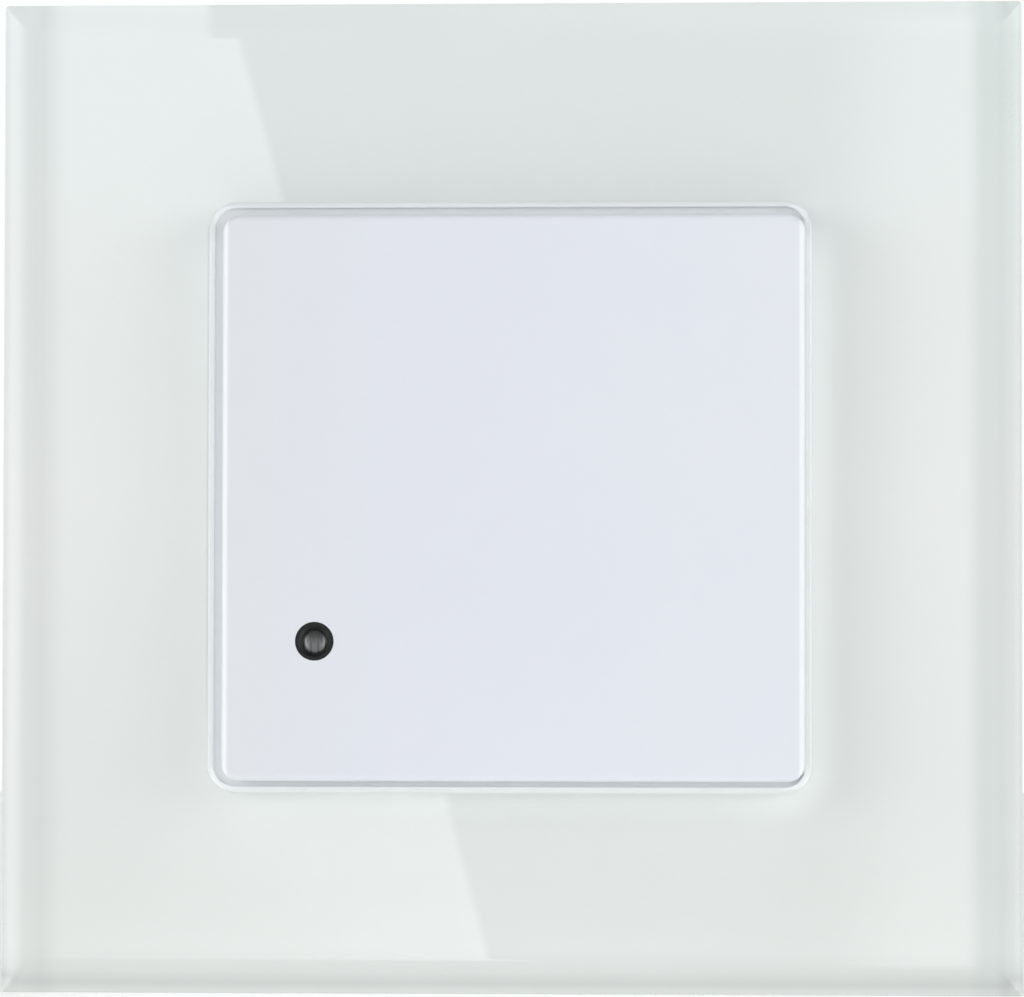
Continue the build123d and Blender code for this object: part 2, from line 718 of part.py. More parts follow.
def housing_rear():
    """Cup in the wall box, with screw bosses, board ribs and ports for wires and screwdriver."""
    cup = flattened_disc(CUP_RADIUS, CUP_FLAT, CUP_BACK, 0)
    cup = fillet(edges_at_depth(cup, CUP_BACK), CUP_BACK_EDGE)
    cup -= flattened_disc(CUP_RADIUS - CUP_WALL, CUP_FLAT - CUP_WALL, CUP_FLOOR, PAST)
    cup -= slab(
        PLATE_FIELD_WIDTH,
        PLATE_FIELD_HEIGHT,
        PLATE_FIELD_CORNER,
        CUP_BACK - PAST,
        CUP_BACK + PLATE_FIELD_DEPTH,
        0,
        PLATE_FIELD_Z,
    )
    for x, z in screw_places():
        cup += screw_boss(x, z)
        cup -= rod(SCREW_CORE, SCREW_END - PAST, PAST, x, z)
    for side in BOTH_SIDES:
        for other in BOTH_SIDES:
            x0, x1 = sorted((side * BOARD_RIB_INNER, side * BOARD_RIB_OUTER))
            low = other * BOARD_RIB_Z - BOARD_RIB_THICKNESS / 2
            cup += block(x0, x1, CUP_FLOOR - SNUG, POWER_BOARD_BACK, low, low + BOARD_RIB_THICKNESS)
    for x in TERMINAL_PLACES:
        cup -= wire_port(x)
        cup -= rod_up(TERMINAL_HEAD_HOLE, -CUP_FLAT - PAST, PAST - CUP_FLAT + CUP_WALL, x, TERMINAL_DEPTH)
    return cup


def housing_screws():
    """Four cross-slotted pan head screws from the front."""
    screws = []
    for x, z in screw_places():
        screw = rod(SCREW_SHANK, SCREW_END, SCREW_SEAT, x, z)
        top = SCREW_SEAT + SCREW_HEAD
        screw += rod(SCREW_HEAD_RADIUS, SCREW_SEAT, top, x, z)
        slot = Rectangle(SCREW_SLOT_WIDTH, 2 * SCREW_SLOT_SHARE * SCREW_HEAD_RADIUS)
        for turn in CROSS_TURNS:
            screw -= upright(Rot(0, 0, turn) * slot, top - SCREW_SLOT_DEPTH, top + PAST, x, z)
        screws.append(screw)
    return screws


# Radar board


def radar_board():
    """Board behind the front wall, notched round the screw posts."""
    back, front = RADAR_BOARD_BACK - PAST, RADAR_BOARD_FRONT + PAST
    board = slab(
        RADAR_BOARD_WIDTH, RADAR_BOARD_HEIGHT, RADAR_BOARD_CORNER, RADAR_BOARD_BACK, RADAR_BOARD_FRONT
    )
    clear = SCREW_POST_RADIUS + BOARD_GAP
    for x, z in screw_places():
        board -= rod(clear, back, front, x, z)
        x0, x1 = sorted((x, 2 * x)) if x else (-clear, clear)
        z0, z1 = sorted((z, 2 * z)) if z else (-clear, clear)
        board -= block(x0, x1, back, front, z0, z1)
    for side in BOTH_SIDES:
        for other in BOTH_SIDES:
            board -= rod(STAKE_RADIUS + SNUG, back, front, side * STAKE_X, other * STAKE_Z)
        board -= rod(LEAD_RADIUS + SNUG, back, front, SENSOR_X + side * LEAD_PITCH / 2, SENSOR_Z)
    return board


def antenna_patches():
    """Transmitting and receiving patch on the front of the radar board, each with its feed line."""
    patches = []
    for x in PATCH_CENTRES:
        half = PATCH_SIZE / 2
        front = RADAR_BOARD_FRONT + PATCH_THICKNESS
        patch = block(x - half, x + half, RADAR_BOARD_FRONT, front, RADOME_Z - half, RADOME_Z + half)
        feed_bottom = RADOME_Z - half - FEED_LENGTH
        patch += block(
            x - FEED_HALF, x + FEED_HALF, RADAR_BOARD_FRONT, front, feed_bottom, RADOME_Z - half
        )
        patches.append(patch)
    return patches


def shield_can():
    """Thin metal can behind the radar board, open towards it."""
    back = RADAR_BOARD_BACK - CAN_DEPTH
    floor = back + CAN_WALL
    can = slab(CAN_WIDTH, CAN_HEIGHT, CAN_CORNER, back, RADAR_BOARD_BACK, CAN_X, CAN_Z)
    inner_width = CAN_WIDTH - 2 * CAN_WALL
    inner_height = CAN_HEIGHT - 2 * CAN_WALL
    inner_corner = CAN_CORNER - CAN_WALL
    return can - slab(
        inner_width, inner_height, inner_corner, floor, RADAR_BOARD_BACK + PAST, CAN_X, CAN_Z
    )


def chip(x, z, width, height, depth, surface, legs, towards):
    """A chip body on a board face, with legs along both long sides. towards is +1 in front of it."""
    near = surface + towards * CHIP_STANDOFF
    far = surface + towards * depth
    back, front = sorted((near, far))
    body = block(x - width / 2, x + width / 2, back, front, z - height / 2, z + height / 2)
    foot_back, foot_front = sorted((surface, surface + towards * depth / 2))
    pitch = width / legs
    for index in range(legs):
        leg_x = x - width / 2 + (index + 0.5) * pitch
        half = CHIP_LEG / 2
        reach = height / 2 + CHIP_FOOT
        body += block(leg_x - half, leg_x + half, foot_back, foot_front, z - reach, z + reach)
    return body


def chip_row(surface, towards, start_x, z, count):
    """A row of small chip parts on one face of a board."""
    back, front = sorted((surface, surface + towards * CHIP_HEIGHT))
    half_width, half_length = CHIP_WIDTH / 2, CHIP_LENGTH / 2
    places = [start_x + index * CHIP_PITCH for index in range(count)]
    return [
        block(x - half_width, x + half_width, back, front, z - half_length, z + half_length)
        for x in places
    ]


def chip_components():
    """Rows of chip resistors and capacitors on the free faces of both boards."""
    chips = []
    for start_x, count in zip(RADAR_ROW_STARTS, RADAR_ROW_COUNTS):
        chips += chip_row(RADAR_BOARD_BACK, -1, start_x, CONTROLLER_Z, count)
    for start_x, count in zip(POWER_ROW_STARTS, POWER_ROW_COUNTS):
        chips += chip_row(POWER_BOARD_FRONT, 1, start_x, 0, count)
    return chips


def trimmer_places():
    """The z of the three trimmers, from the lowest up."""
    return [index * TRIMMER_PITCH for index in (-1, 0, 1)]


def trimmer_bases():
    """Square bases with a bearing hole for the rotor's stub."""
    front = RADAR_BOARD_FRONT + TRIMMER_BASE
    bases = []
    for z in trimmer_places():
        base = slab(
            TRIMMER_SIZE, TRIMMER_SIZE, TRIMMER_CORNER, RADAR_BOARD_FRONT, front, TRIMMER_X, z
        )
        hole = TRIMMER_SHAFT_RADIUS + TRIMMER_FIT
        bases.append(base - rod(hole, front - TRIMMER_SHAFT - SNUG, front + PAST, TRIMMER_X, z))
    return bases


def trimmer_rotor(z):
    """Round rotor with an arrow-shaped recess for a small screwdriver."""
    seat = RADAR_BOARD_FRONT + TRIMMER_BASE + TRIMMER_GAP
    rotor = rod(TRIMMER_ROTOR_RADIUS, seat, TRIMMER_FACE, TRIMMER_X, z)
    rotor += rod(TRIMMER_SHAFT_RADIUS, seat - TRIMMER_SHAFT, seat, TRIMMER_X, z)
    floor = TRIMMER_FACE - ARROW_DEPTH
    rotor -= upright(
        Rectangle(ARROW_WIDTH, ARROW_LENGTH), floor, TRIMMER_FACE + PAST, TRIMMER_X, z
    )
    head = Triangle(a=2 * ARROW_WIDTH, b=2 * ARROW_WIDTH, c=2 * ARROW_WIDTH)
    tip = z + ARROW_LENGTH / 2 - ARROW_WIDTH
    return rotor - upright(head, floor, TRIMMER_FACE + PAST, TRIMMER_X, tip)


def header_pin_places():
    """The x of the header's pins."""
    start = -(HEADER_PINS - 1) * HEADER_PITCH / 2
    return [start + index * HEADER_PITCH for index in range(HEADER_PINS)]


def header_socket():
    """Socket strip behind the radar board."""
    half_length = HEADER_PINS * HEADER_PITCH / 2
    half_width = HEADER_WIDTH / 2
    back = RADAR_BOARD_BACK - SOCKET_DEPTH
    strip = block(
        -half_length, half_length, back, RADAR_BOARD_BACK, HEADER_Z - half_width, HEADER_Z + half_width
    )
    for x in header_pin_places():
        hole = Rectangle(SOCKET_HOLE, SOCKET_HOLE)
        strip -= upright(hole, back - PAST, RADAR_BOARD_BACK - PAST, x, HEADER_Z)
    return strip


def header_pins():
    """Pin strip in front of the power board: one moulded base and its pins."""
    half_length = HEADER_PINS * HEADER_PITCH / 2
    half_width = HEADER_WIDTH / 2
    base_front = POWER_BOARD_FRONT + PIN_BASE
    strip = block(
        -half_length, half_length, POWER_BOARD_FRONT, base_front,
        HEADER_Z - half_width, HEADER_Z + half_width,
    )
    for x in header_pin_places():
        pin = Rectangle(HEADER_PIN, HEADER_PIN)
        strip += upright(pin, base_front - SNUG, PIN_TIP, x, HEADER_Z)
    return strip


# Power board


def power_board():
    """Round board with flats, drilled for the contact bars."""
    board = flattened_disc(
        POWER_BOARD_RADIUS, POWER_BOARD_FLAT, POWER_BOARD_BACK, POWER_BOARD_FRONT
    )
    for x in TERMINAL_PLACES:
        half = BAR_PIN_HALF + SNUG
        board -= block(
            x - half,
            x + half,
            POWER_BOARD_BACK - PAST,
            POWER_BOARD_FRONT + PAST,
            BAR_BOTTOM - SNUG,
            BAR_TOP + SNUG,
        )
    return board


def relay_case():
    """Case of the relay, open towards the power board."""
    front = POWER_BOARD_BACK - SNUG
    back = front - RELAY_DEPTH
    case = slab(RELAY_WIDTH, RELAY_HEIGHT, RELAY_CORNER, back, front, RELAY_X, RELAY_Z)
    width = RELAY_WIDTH - 2 * RELAY_WALL
    height = RELAY_HEIGHT - 2 * RELAY_WALL
    floor = back + RELAY_WALL
    return case - slab(width, height, RELAY_INNER_CORNER, floor, front + PAST, RELAY_X, RELAY_Z)


def relay_coil():
    """Flanged winding on an iron core whose left end is the pole face."""
    coil = rod_across(COIL_RADIUS, COIL_LEFT, COIL_RIGHT, COIL_DEPTH, RELAY_Z)
    half = COIL_FLANGE / 2
    for x in (COIL_LEFT, COIL_RIGHT - COIL_FLANGE_THICKNESS):
        coil += block(
            x, x + COIL_FLANGE_THICKNESS, COIL_DEPTH - half, COIL_DEPTH + half,
            RELAY_Z - half, RELAY_Z + half,
        )
    return coil + rod_across(CORE_RADIUS, CORE_LEFT, YOKE_RIGHT - YOKE_THICKNESS, COIL_DEPTH, RELAY_Z)


def relay_yoke():
    """Angle of iron beside the coil, from the core's right end back to the armature."""
    half = YOKE_HEIGHT / 2
    low, high = RELAY_Z - half, RELAY_Z + half
    foot = block(YOKE_LEFT, YOKE_RIGHT, YOKE_FRONT - YOKE_THICKNESS, YOKE_FRONT, low, high)
    return foot + block(YOKE_RIGHT - YOKE_THICKNESS, YOKE_RIGHT, YOKE_BACK, YOKE_FRONT, low, high)


def relay_armature():
    """Iron flap that rocks on its round end at the yoke, with the moving contact near its free end."""
    low, high = RELAY_Z - YOKE_HEIGHT / 2, RELAY_Z + YOKE_HEIGHT / 2
    left = ARMATURE_RIGHT - ARMATURE_THICKNESS
    flap = block(left, ARMATURE_RIGHT, ARMATURE_BACK, ARMATURE_PIVOT, low, high)
    middle = (left + ARMATURE_RIGHT) / 2
    flap += rod_up(ARMATURE_THICKNESS / 2, low, high, middle, ARMATURE_PIVOT)
    bead_right = ARMATURE_RIGHT + CONTACT_BEAD / 2
    return flap + rod_across(CONTACT_RADIUS, ARMATURE_RIGHT, bead_right, CONTACT_DEPTH, RELAY_Z)


def relay_contact():
    """Fixed contact blade with its bead, led round the coil to the board."""
    half = CONTACT_WIDTH / 2
    low, high = RELAY_Z - half, RELAY_Z + half
    back = CONTACT_DEPTH - CONTACT_BLADE / 2
    front = CONTACT_DEPTH + CONTACT_BLADE / 2
    blade = block(CONTACT_LEFT + CONTACT_BEAD, CONTACT_RIGHT, back, front, low, high)
    blade += block(CONTACT_RIGHT - CONTACT_BLADE, CONTACT_RIGHT, back, POWER_BOARD_BACK, low, high)
    bead = rod_across(CONTACT_RADIUS, CONTACT_LEFT, CONTACT_LEFT + CONTACT_BEAD, CONTACT_DEPTH, RELAY_Z)
    return blade + bead


def smoothing_capacitor():
    """Round can capacitor standing on the back of the power board."""
    back = POWER_BOARD_BACK - SMOOTHING_LENGTH
    can = rod(SMOOTHING_RADIUS, back, POWER_BOARD_BACK, SMOOTHING_X, SMOOTHING_Z)
    return fillet(edges_at_depth(can, back), SMOOTHING_EDGE)


def film_capacitor():
    """Boxed film capacitor."""
    back = POWER_BOARD_BACK - FILM_LENGTH
    return slab(FILM_WIDTH, FILM_HEIGHT, FILM_CORNER, back, POWER_BOARD_BACK, FILM_X, FILM_Z)


def varistor():
    """Disc on edge, with two leads."""
    depth = POWER_BOARD_BACK - VARISTOR_RADIUS - VARISTOR_STANDOFF
    half = VARISTOR_THICKNESS / 2
    disc = rod_up(VARISTOR_RADIUS, -half, half, VARISTOR_X, depth)
    for side in BOTH_SIDES:
        x = VARISTOR_X + side * LEAD_PITCH
        disc += rod(LEAD_RADIUS, depth, POWER_BOARD_BACK, x, 0)
    return disc


def fuse():
    """Cylindrical fuse across the board, with end caps and a lead at each end."""
    depth = POWER_BOARD_BACK - FUSE_STANDOFF
    left = FUSE_X - FUSE_LENGTH / 2
    right = FUSE_X + FUSE_LENGTH / 2
    body = rod_across(FUSE_RADIUS - FUSE_STEP, left, right, depth, 0)
    for x0, lead_x in ((left, left + FUSE_CAP / 2), (right - FUSE_CAP, right - FUSE_CAP / 2)):
        body += rod_across(FUSE_RADIUS, x0, x0 + FUSE_CAP, depth, 0)
        body += rod(2 * LEAD_RADIUS, depth, POWER_BOARD_BACK, lead_x, 0)
    return body


def inductor():
    """Drum core with its winding in the waist."""
    back = POWER_BOARD_BACK - INDUCTOR_LENGTH
    drum = rod(INDUCTOR_WAIST, back, POWER_BOARD_BACK, INDUCTOR_X, INDUCTOR_Z)
    for start in (back, POWER_BOARD_BACK - INDUCTOR_FLANGE):
        drum += rod(INDUCTOR_RADIUS, start, start + INDUCTOR_FLANGE, INDUCTOR_X, INDUCTOR_Z)
    return drum


# Terminals


def terminal_block(centre_x):
    """Moulded block with two cells, each with a screw hole below and a wire port behind."""
    x0, x1 = centre_x - BLOCK_HALF, centre_x + BLOCK_HALF
    body = block(x0, x1, BLOCK_BACK, BLOCK_FRONT, BLOCK_BOTTOM, BLOCK_TOP)
    for x in TERMINAL_PLACES:
        if x0 < x < x1:
            body -= block(
                x - CELL_HALF, x + CELL_HALF, CELL_BACK_WALL, CELL_FRONT_WALL,
                BLOCK_NECK_TOP, CELL_TOP,
            )
            below = BLOCK_BOTTOM - PAST
            body -= rod_up(TERMINAL_NECK_HOLE, below, BLOCK_NECK_TOP + PAST, x, TERMINAL_DEPTH)
            body -= rod_up(TERMINAL_HEAD_HOLE, below, TERMINAL_HEAD_TOP + BAR_GAP, x, TERMINAL_DEPTH)
            port = Rectangle(WIRE_WIDTH, WIRE_HEIGHT)
            body -= upright(port, BLOCK_BACK - PAST, CELL_BACK_WALL + PAST, x, WIRE_Z)
            bar_half = BAR_HALF + BAR_GAP
            body -= block(
                x - bar_half,
                x + bar_half,
                CELL_FRONT_WALL - PAST,
                BLOCK_FRONT + PAST,
                BAR_BOTTOM - BAR_GAP,
                BAR_TOP + BAR_GAP,
            )
    return body


def contact_bars():
    """Flat bars from inside the cages to the board."""
    bars = []
    for x in TERMINAL_PLACES:
        bar = block(x - BAR_HALF, x + BAR_HALF, BAR_BACK, BAR_STEP, BAR_BOTTOM, BAR_TOP)
        bar += block(
            x - BAR_PIN_HALF, x + BAR_PIN_HALF, BAR_STEP, BAR_TIP, BAR_BOTTOM, BAR_TOP
        )
        bars.append(bar)
    return bars


def terminal_cage(x):
    """Square tube open towards the wire, threaded below, that the screw draws down on the wire."""
    back = TERMINAL_DEPTH - CAGE_HALF_DEPTH
    front = TERMINAL_DEPTH + CAGE_HALF_DEPTH
    cage = block(x - CAGE_HALF, x + CAGE_HALF, back, front, CAGE_BOTTOM, CAGE_TOP)
    inner = CAGE_HALF - CAGE_WALL
    floor_top = CAGE_BOTTOM + CAGE_FLOOR
    cage -= block(x - inner, x + inner, back - PAST, front + PAST, floor_top, CAGE_TOP - CAGE_ROOF)
    hole = TERMINAL_SHANK + TERMINAL_FIT
    return cage - rod_up(hole, CAGE_BOTTOM - PAST, floor_top + PAST, x, TERMINAL_DEPTH)


def terminal_screw(x):
    """Slotted screw held in the block, its head facing down."""
    screw = rod_up(TERMINAL_SHANK, TERMINAL_HEAD_TOP, TERMINAL_TIP, x, TERMINAL_DEPTH)
    screw += rod_up(
        TERMINAL_HEAD_RADIUS, TERMINAL_HEAD_BOTTOM, TERMINAL_HEAD_TOP, x, TERMINAL_DEPTH
    )
    half_slot = SCREW_SLOT_WIDTH / 2
    return screw - block(
        x - half_slot,
        x + half_slot,
        TERMINAL_DEPTH - TERMINAL_HEAD_RADIUS,
        TERMINAL_DEPTH + TERMINAL_HEAD_RADIUS,
        TERMINAL_HEAD_BOTTOM - PAST,
        TERMINAL_HEAD_BOTTOM + SCREW_SLOT_DEPTH,
    )


# Spreading claws


def claw_screw(side):
    """Long screw with its head on the ring and its shank beside the rear housing."""
    z = side * CLAW_Z
    top = RING_THICKNESS + CLAW_HEAD
    screw = rod(CLAW_SCREW_RADIUS, CLAW_SCREW_TIP, RING_THICKNESS, 0, z)
    screw += rod(CLAW_HEAD_RADIUS, RING_THICKNESS, top, 0, z)
    slot = Rectangle(2 * CLAW_SLOT_SHARE * CLAW_HEAD_RADIUS, SCREW_SLOT_WIDTH)
    for turn in CROSS_TURNS:
        screw -= upright(Rot(0, 0, turn) * slot, top - SCREW_SLOT_DEPTH, top + PAST, 0, z)
    return screw


def claw_nut(side):
    """Square nut on the screw, with a trunnion on each side for the claw."""
    z = side * CLAW_Z
    nut = block(
        -NUT_HALF_WIDTH,
        NUT_HALF_WIDTH,
        CLAW_PIVOT_DEPTH - NUT_HALF_DEPTH,
        CLAW_PIVOT_DEPTH + NUT_HALF_DEPTH,
        z - NUT_HALF_HEIGHT,
        z + NUT_HALF_HEIGHT,
    )
    half_length = NUT_HALF_WIDTH + TRUNNION_LENGTH
    nut += rod_across(TRUNNION_RADIUS, -half_length, half_length, CLAW_PIVOT_DEPTH, z)
    back = CLAW_PIVOT_DEPTH - NUT_HALF_DEPTH - PAST
    front = CLAW_PIVOT_DEPTH + NUT_HALF_DEPTH + PAST
    return nut - rod(CLAW_SCREW_RADIUS + CLAW_FIT, back, front, 0, z)


def claw(side):
    """Steel yoke on the nut's trunnions: two cheeks, a roof on the far side and teeth at its end."""
    z = side * CLAW_Z
    tip = CLAW_PIVOT_DEPTH + CLAW_REACH
    roof_low, roof_high = sorted(
        (z + side * CLAW_ROOF_LOW, z + side * (CLAW_ROOF_LOW + CLAW_ROOF))
    )
    cheek_low, cheek_high = sorted(
        (z + side * CHEEK_LOW, z + side * (CLAW_ROOF_LOW + CLAW_ROOF))
    )
    outer = CHEEK_INNER + CHEEK_THICKNESS
    roof_start = CLAW_PIVOT_DEPTH + CLAW_ROOF_START
    yoke = block(-outer, outer, roof_start, tip, roof_low, roof_high)
    for cheek_side in BOTH_SIDES:
        x0, x1 = sorted((cheek_side * CHEEK_INNER, cheek_side * outer))
        yoke += block(x0, x1, roof_start, tip, cheek_low, cheek_high)
        yoke += rod_across(CHEEK_TAIL_RADIUS, x0, x1, CLAW_PIVOT_DEPTH, z)
        web_low, web_high = sorted((z + side * CHEEK_LOW, z + side * CHEEK_WEB))
        yoke += block(x0, x1, CLAW_PIVOT_DEPTH, roof_start + SNUG, web_low, web_high)
    hole = TRUNNION_RADIUS + CLAW_FIT
    yoke -= rod_across(hole, -outer - PAST, outer + PAST, CLAW_PIVOT_DEPTH, z)
    roof_outer = z + side * (CLAW_ROOF_LOW + CLAW_ROOF)
    spacing = 2 * outer / TOOTH_COUNT
    for index in range(TOOTH_COUNT):
        x = -outer + (index + 0.5) * spacing
        tooth_profile = Plane.XY * Polygon(
            (0, 0), (TOOTH_WIDTH, 0), (TOOTH_WIDTH, side * TOOTH_HEIGHT), align=None
        )
        tooth = Rot(0, 90, 0) * Rot(0, 0, 90) * extrude(tooth_profile, TOOTH_WIDTH / 2, both=True)
        yoke += Pos(x, -(tip - TOOTH_WIDTH), roof_outer) * tooth
    return yoke


def write_all():
    """Every piece in its own file."""
    os.makedirs("parts", exist_ok=True)
    save("glass_panel", glass_panel())
    save("lacquer_film", lacquer_film())
    save("bonding_tape", *bonding_tape())
    save("frame_carrier", frame_carrier())
    save("centre_plate", centre_plate())
    save("sensor_bezel", sensor_bezel())
    save("sensor_lens", sensor_lens())
    save("light_sensor", light_sensor())
    save("support_ring", support_ring())
    save("housing_front", housing_front())
    save("housing_rear", housing_rear())
    save("housing_screws", *housing_screws())
    save("radar_board", radar_board())
    save("antenna_patches", *antenna_patches())
    save("shield_can", shield_can())
    save(
        "radar_transistor",
        chip(
            CAN_X, CAN_Z, TRANSISTOR_WIDTH, TRANSISTOR_HEIGHT, TRANSISTOR_DEPTH,
            RADAR_BOARD_BACK, TRANSISTOR_LEGS, -1,
        ),
    )
    save(
        "microcontroller",
        chip(
            0, CONTROLLER_Z, CONTROLLER_WIDTH, CONTROLLER_HEIGHT, CONTROLLER_DEPTH,
            RADAR_BOARD_BACK, CONTROLLER_LEGS, -1,
        ),
    )
    save("chip_components", *chip_components())
    save("trimmer_bases", *trimmer_bases())
    for name, z in zip(TRIMMER_NAMES, trimmer_places()):
        save(name, trimmer_rotor(z))
    save("header_socket", header_socket())
    save("header_pins", header_pins())
    save("power_board", power_board())
    save("relay_case", relay_case())
    save("relay_coil", relay_coil())
    save("relay_yoke", relay_yoke())
    save("relay_armature", relay_armature())
    save("relay_contact", relay_contact())
    save("smoothing_capacitor", smoothing_capacitor())
    save("film_capacitor", film_capacitor())
    save("varistor", varistor())
    save("fuse", fuse())
    save("inductor", inductor())
    save(
        "bridge_rectifier",
        chip(
            RECTIFIER_X, RECTIFIER_Z, RECTIFIER_WIDTH, RECTIFIER_HEIGHT, RECTIFIER_DEPTH,
            POWER_BOARD_FRONT, RECTIFIER_LEGS, 1,
        ),
    )
    save(
        "regulator",
        chip(
            REGULATOR_X, REGULATOR_Z, REGULATOR_WIDTH, REGULATOR_HEIGHT, REGULATOR_DEPTH,
            POWER_BOARD_FRONT, REGULATOR_LEGS, 1,
        ),
    )
    save("terminal_block_left", terminal_block(-BLOCK_CENTRE))
    save("terminal_block_right", terminal_block(BLOCK_CENTRE))
    save("contact_bars", *contact_bars())
    for number, x in enumerate(TERMINAL_PLACES, start=1):
        save(f"terminal_cage_{number}", terminal_cage(x))
        save(f"terminal_screw_{number}", terminal_screw(x))
    for name, side in (("top", 1), ("bottom", -1)):
        save(f"claw_screw_{name}", claw_screw(side))
        save(f"claw_nut_{name}", claw_nut(side))
        save(f"claw_{name}", claw(side))


write_all()
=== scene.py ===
"""Flush-mounted motion sensor with a glass cover frame: new surfaces, finishes, studio and camera."""

import math

import bmesh
import bpy
import numpy as np
from bpy.props import FloatProperty, FloatVectorProperty, PointerProperty
from mathutils import Matrix, Vector


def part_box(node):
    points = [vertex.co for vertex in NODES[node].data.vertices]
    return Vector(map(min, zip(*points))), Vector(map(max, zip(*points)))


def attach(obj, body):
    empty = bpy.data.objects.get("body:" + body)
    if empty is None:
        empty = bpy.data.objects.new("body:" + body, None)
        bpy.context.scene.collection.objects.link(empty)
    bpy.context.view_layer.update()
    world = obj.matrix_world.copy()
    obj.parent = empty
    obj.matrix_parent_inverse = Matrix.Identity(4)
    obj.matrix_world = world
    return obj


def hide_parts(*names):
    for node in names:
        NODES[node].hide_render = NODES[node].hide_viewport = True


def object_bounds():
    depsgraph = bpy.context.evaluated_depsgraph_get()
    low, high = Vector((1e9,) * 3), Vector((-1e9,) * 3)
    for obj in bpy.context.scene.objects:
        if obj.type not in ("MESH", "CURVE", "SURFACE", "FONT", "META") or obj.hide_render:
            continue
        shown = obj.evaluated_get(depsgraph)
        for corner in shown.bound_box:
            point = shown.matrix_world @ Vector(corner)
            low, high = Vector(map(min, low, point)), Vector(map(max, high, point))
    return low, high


bl_info = {
    "name": "Motion sensor with a glass frame",
    "version": (1, 0, 0),
    "blender": (4, 5, 0),
    "location": "3D View > Sidebar > Motion sensor",
    "description": "Finishes a flush-mounted motion sensor and sets up its studio",
    "category": "Add Mesh",
}

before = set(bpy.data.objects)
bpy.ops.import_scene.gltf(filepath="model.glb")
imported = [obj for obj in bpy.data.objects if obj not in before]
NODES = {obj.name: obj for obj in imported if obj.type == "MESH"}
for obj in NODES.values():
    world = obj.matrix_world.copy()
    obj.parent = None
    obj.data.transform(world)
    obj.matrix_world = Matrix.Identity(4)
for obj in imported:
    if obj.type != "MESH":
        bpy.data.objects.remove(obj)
CAD_LOW, CAD_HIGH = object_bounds()
PANE_LOW, PANE_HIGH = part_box("glass_panel")
PLATE_LOW, PLATE_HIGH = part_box("centre_plate")
EYE_LOW, EYE_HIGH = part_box("sensor_bezel")
MM = 0.001

# How finely the glass is divided, and its smallest features
CORNER_STEPS = 10
EDGE_STEPS = 14
KEEP_STRAIGHT = 0.15 * MM
COAT_CLEARANCE = 0.01 * MM
PANE_CORNER = 0.35 * MM
COAT_CORNER = 0.3 * MM
OPENING_ROUNDING = 0.12 * MM
SMOOTH_BELOW = math.radians(32)

# Colours that a user has no need to change
UNCHANGED = (1.0, 1.0, 1.0)
CLEAR_GLASS = (0.985, 0.995, 0.99)
FOAM = (0.72, 0.73, 0.72)
BEZEL_BLACK = (0.012, 0.014, 0.014)
CELL_GREY = (0.2, 0.2, 0.205)
PAPER = (0.90, 0.90, 0.90)
TERMINAL_PLASTIC = (0.06, 0.065, 0.07)
TERMINAL_STEEL = (0.66, 0.66, 0.65)
CONTACT_BRASS = (0.62, 0.45, 0.18)
ANTENNA_COPPER = (0.72, 0.38, 0.22)
TINNED_STEEL = (0.74, 0.74, 0.72)
CHIP_PLASTIC = (0.018, 0.018, 0.02)
CHIP_CERAMIC = (0.16, 0.12, 0.09)
TRIMMER_BLUE = (0.02, 0.05, 0.20)
ROTOR_ORANGE = (0.75, 0.42, 0.06)
HEADER_GOLD = (0.83, 0.62, 0.25)
HEADER_PLASTIC = (0.015, 0.015, 0.016)
RELAY_PLASTIC = (0.02, 0.02, 0.024)
RELAY_IRON = (0.56, 0.56, 0.55)
RELAY_BRASS = (0.70, 0.52, 0.24)
COIL_COPPER = (0.62, 0.25, 0.10)
SLEEVE_BLUE = (0.02, 0.03, 0.06)
SLEEVE_STRIPE = (0.55, 0.57, 0.6)
FILM_YELLOW = (0.75, 0.48, 0.03)
VARISTOR_BLUE = (0.02, 0.09, 0.34)
FUSE_NICKEL = (0.72, 0.72, 0.70)
FERRITE = (0.05, 0.05, 0.05)
BRIDGE_PLASTIC = (0.02, 0.02, 0.02)


# Settings that a user can change


def length(name, description, default):
    return FloatProperty(name=name, description=description, default=default, unit="LENGTH", precision=5)


def brightness(name, description, default):
    return FloatProperty(name=name, description=description, default=default, min=0.0)


def colour(name, description, default):
    return FloatVectorProperty(
        name=name, description=description, default=default, subtype="COLOR", size=3, min=0.0, max=1.0
    )


class SensorSizes(bpy.types.PropertyGroup):
    edge_width: length("Edge width", "Width of the rounding round the front of the glass", 3.2 * MM)
    edge_drop: length("Edge drop", "How far the rounding falls back at the rim of the glass", 1.2 * MM)
    back_arris: length("Back arris", "Small bevel round the back of the glass", 0.15 * MM)
    opening_width: length("Opening width", "Width of the opening in the glass", 56.72 * MM)
    opening_height: length("Opening height", "Height of the opening in the glass", 55.52 * MM)
    opening_corner: length("Opening corner", "Corner radius of the opening in the glass", 2.56 * MM)
    grain: length("Plastic grain", "Size of the fine texture on the white plastic", 0.22 * MM)


class SensorColours(bpy.types.PropertyGroup):
    plate: colour("Plate", "Plastic of the centre plate", (0.95, 0.98, 1.0))
    lacquer: colour("Lacquer", "White coat behind the glass", (0.94, 0.947, 0.941))
    carrier: colour("Carrier", "Plastic of the frame carrier and its collar", (0.965, 0.992, 1.0))
    glass: colour("Glass", "Tint of the glass in its thickness", (0.84, 0.93, 0.90))
    housing: colour("Housing", "Plastic of both housings", (0.62, 0.64, 0.65))
    steel: colour("Steel", "Zinc-plated steel", (0.66, 0.67, 0.68))
    board: colour("Board", "Solder mask of the boards", (0.02, 0.16, 0.06))


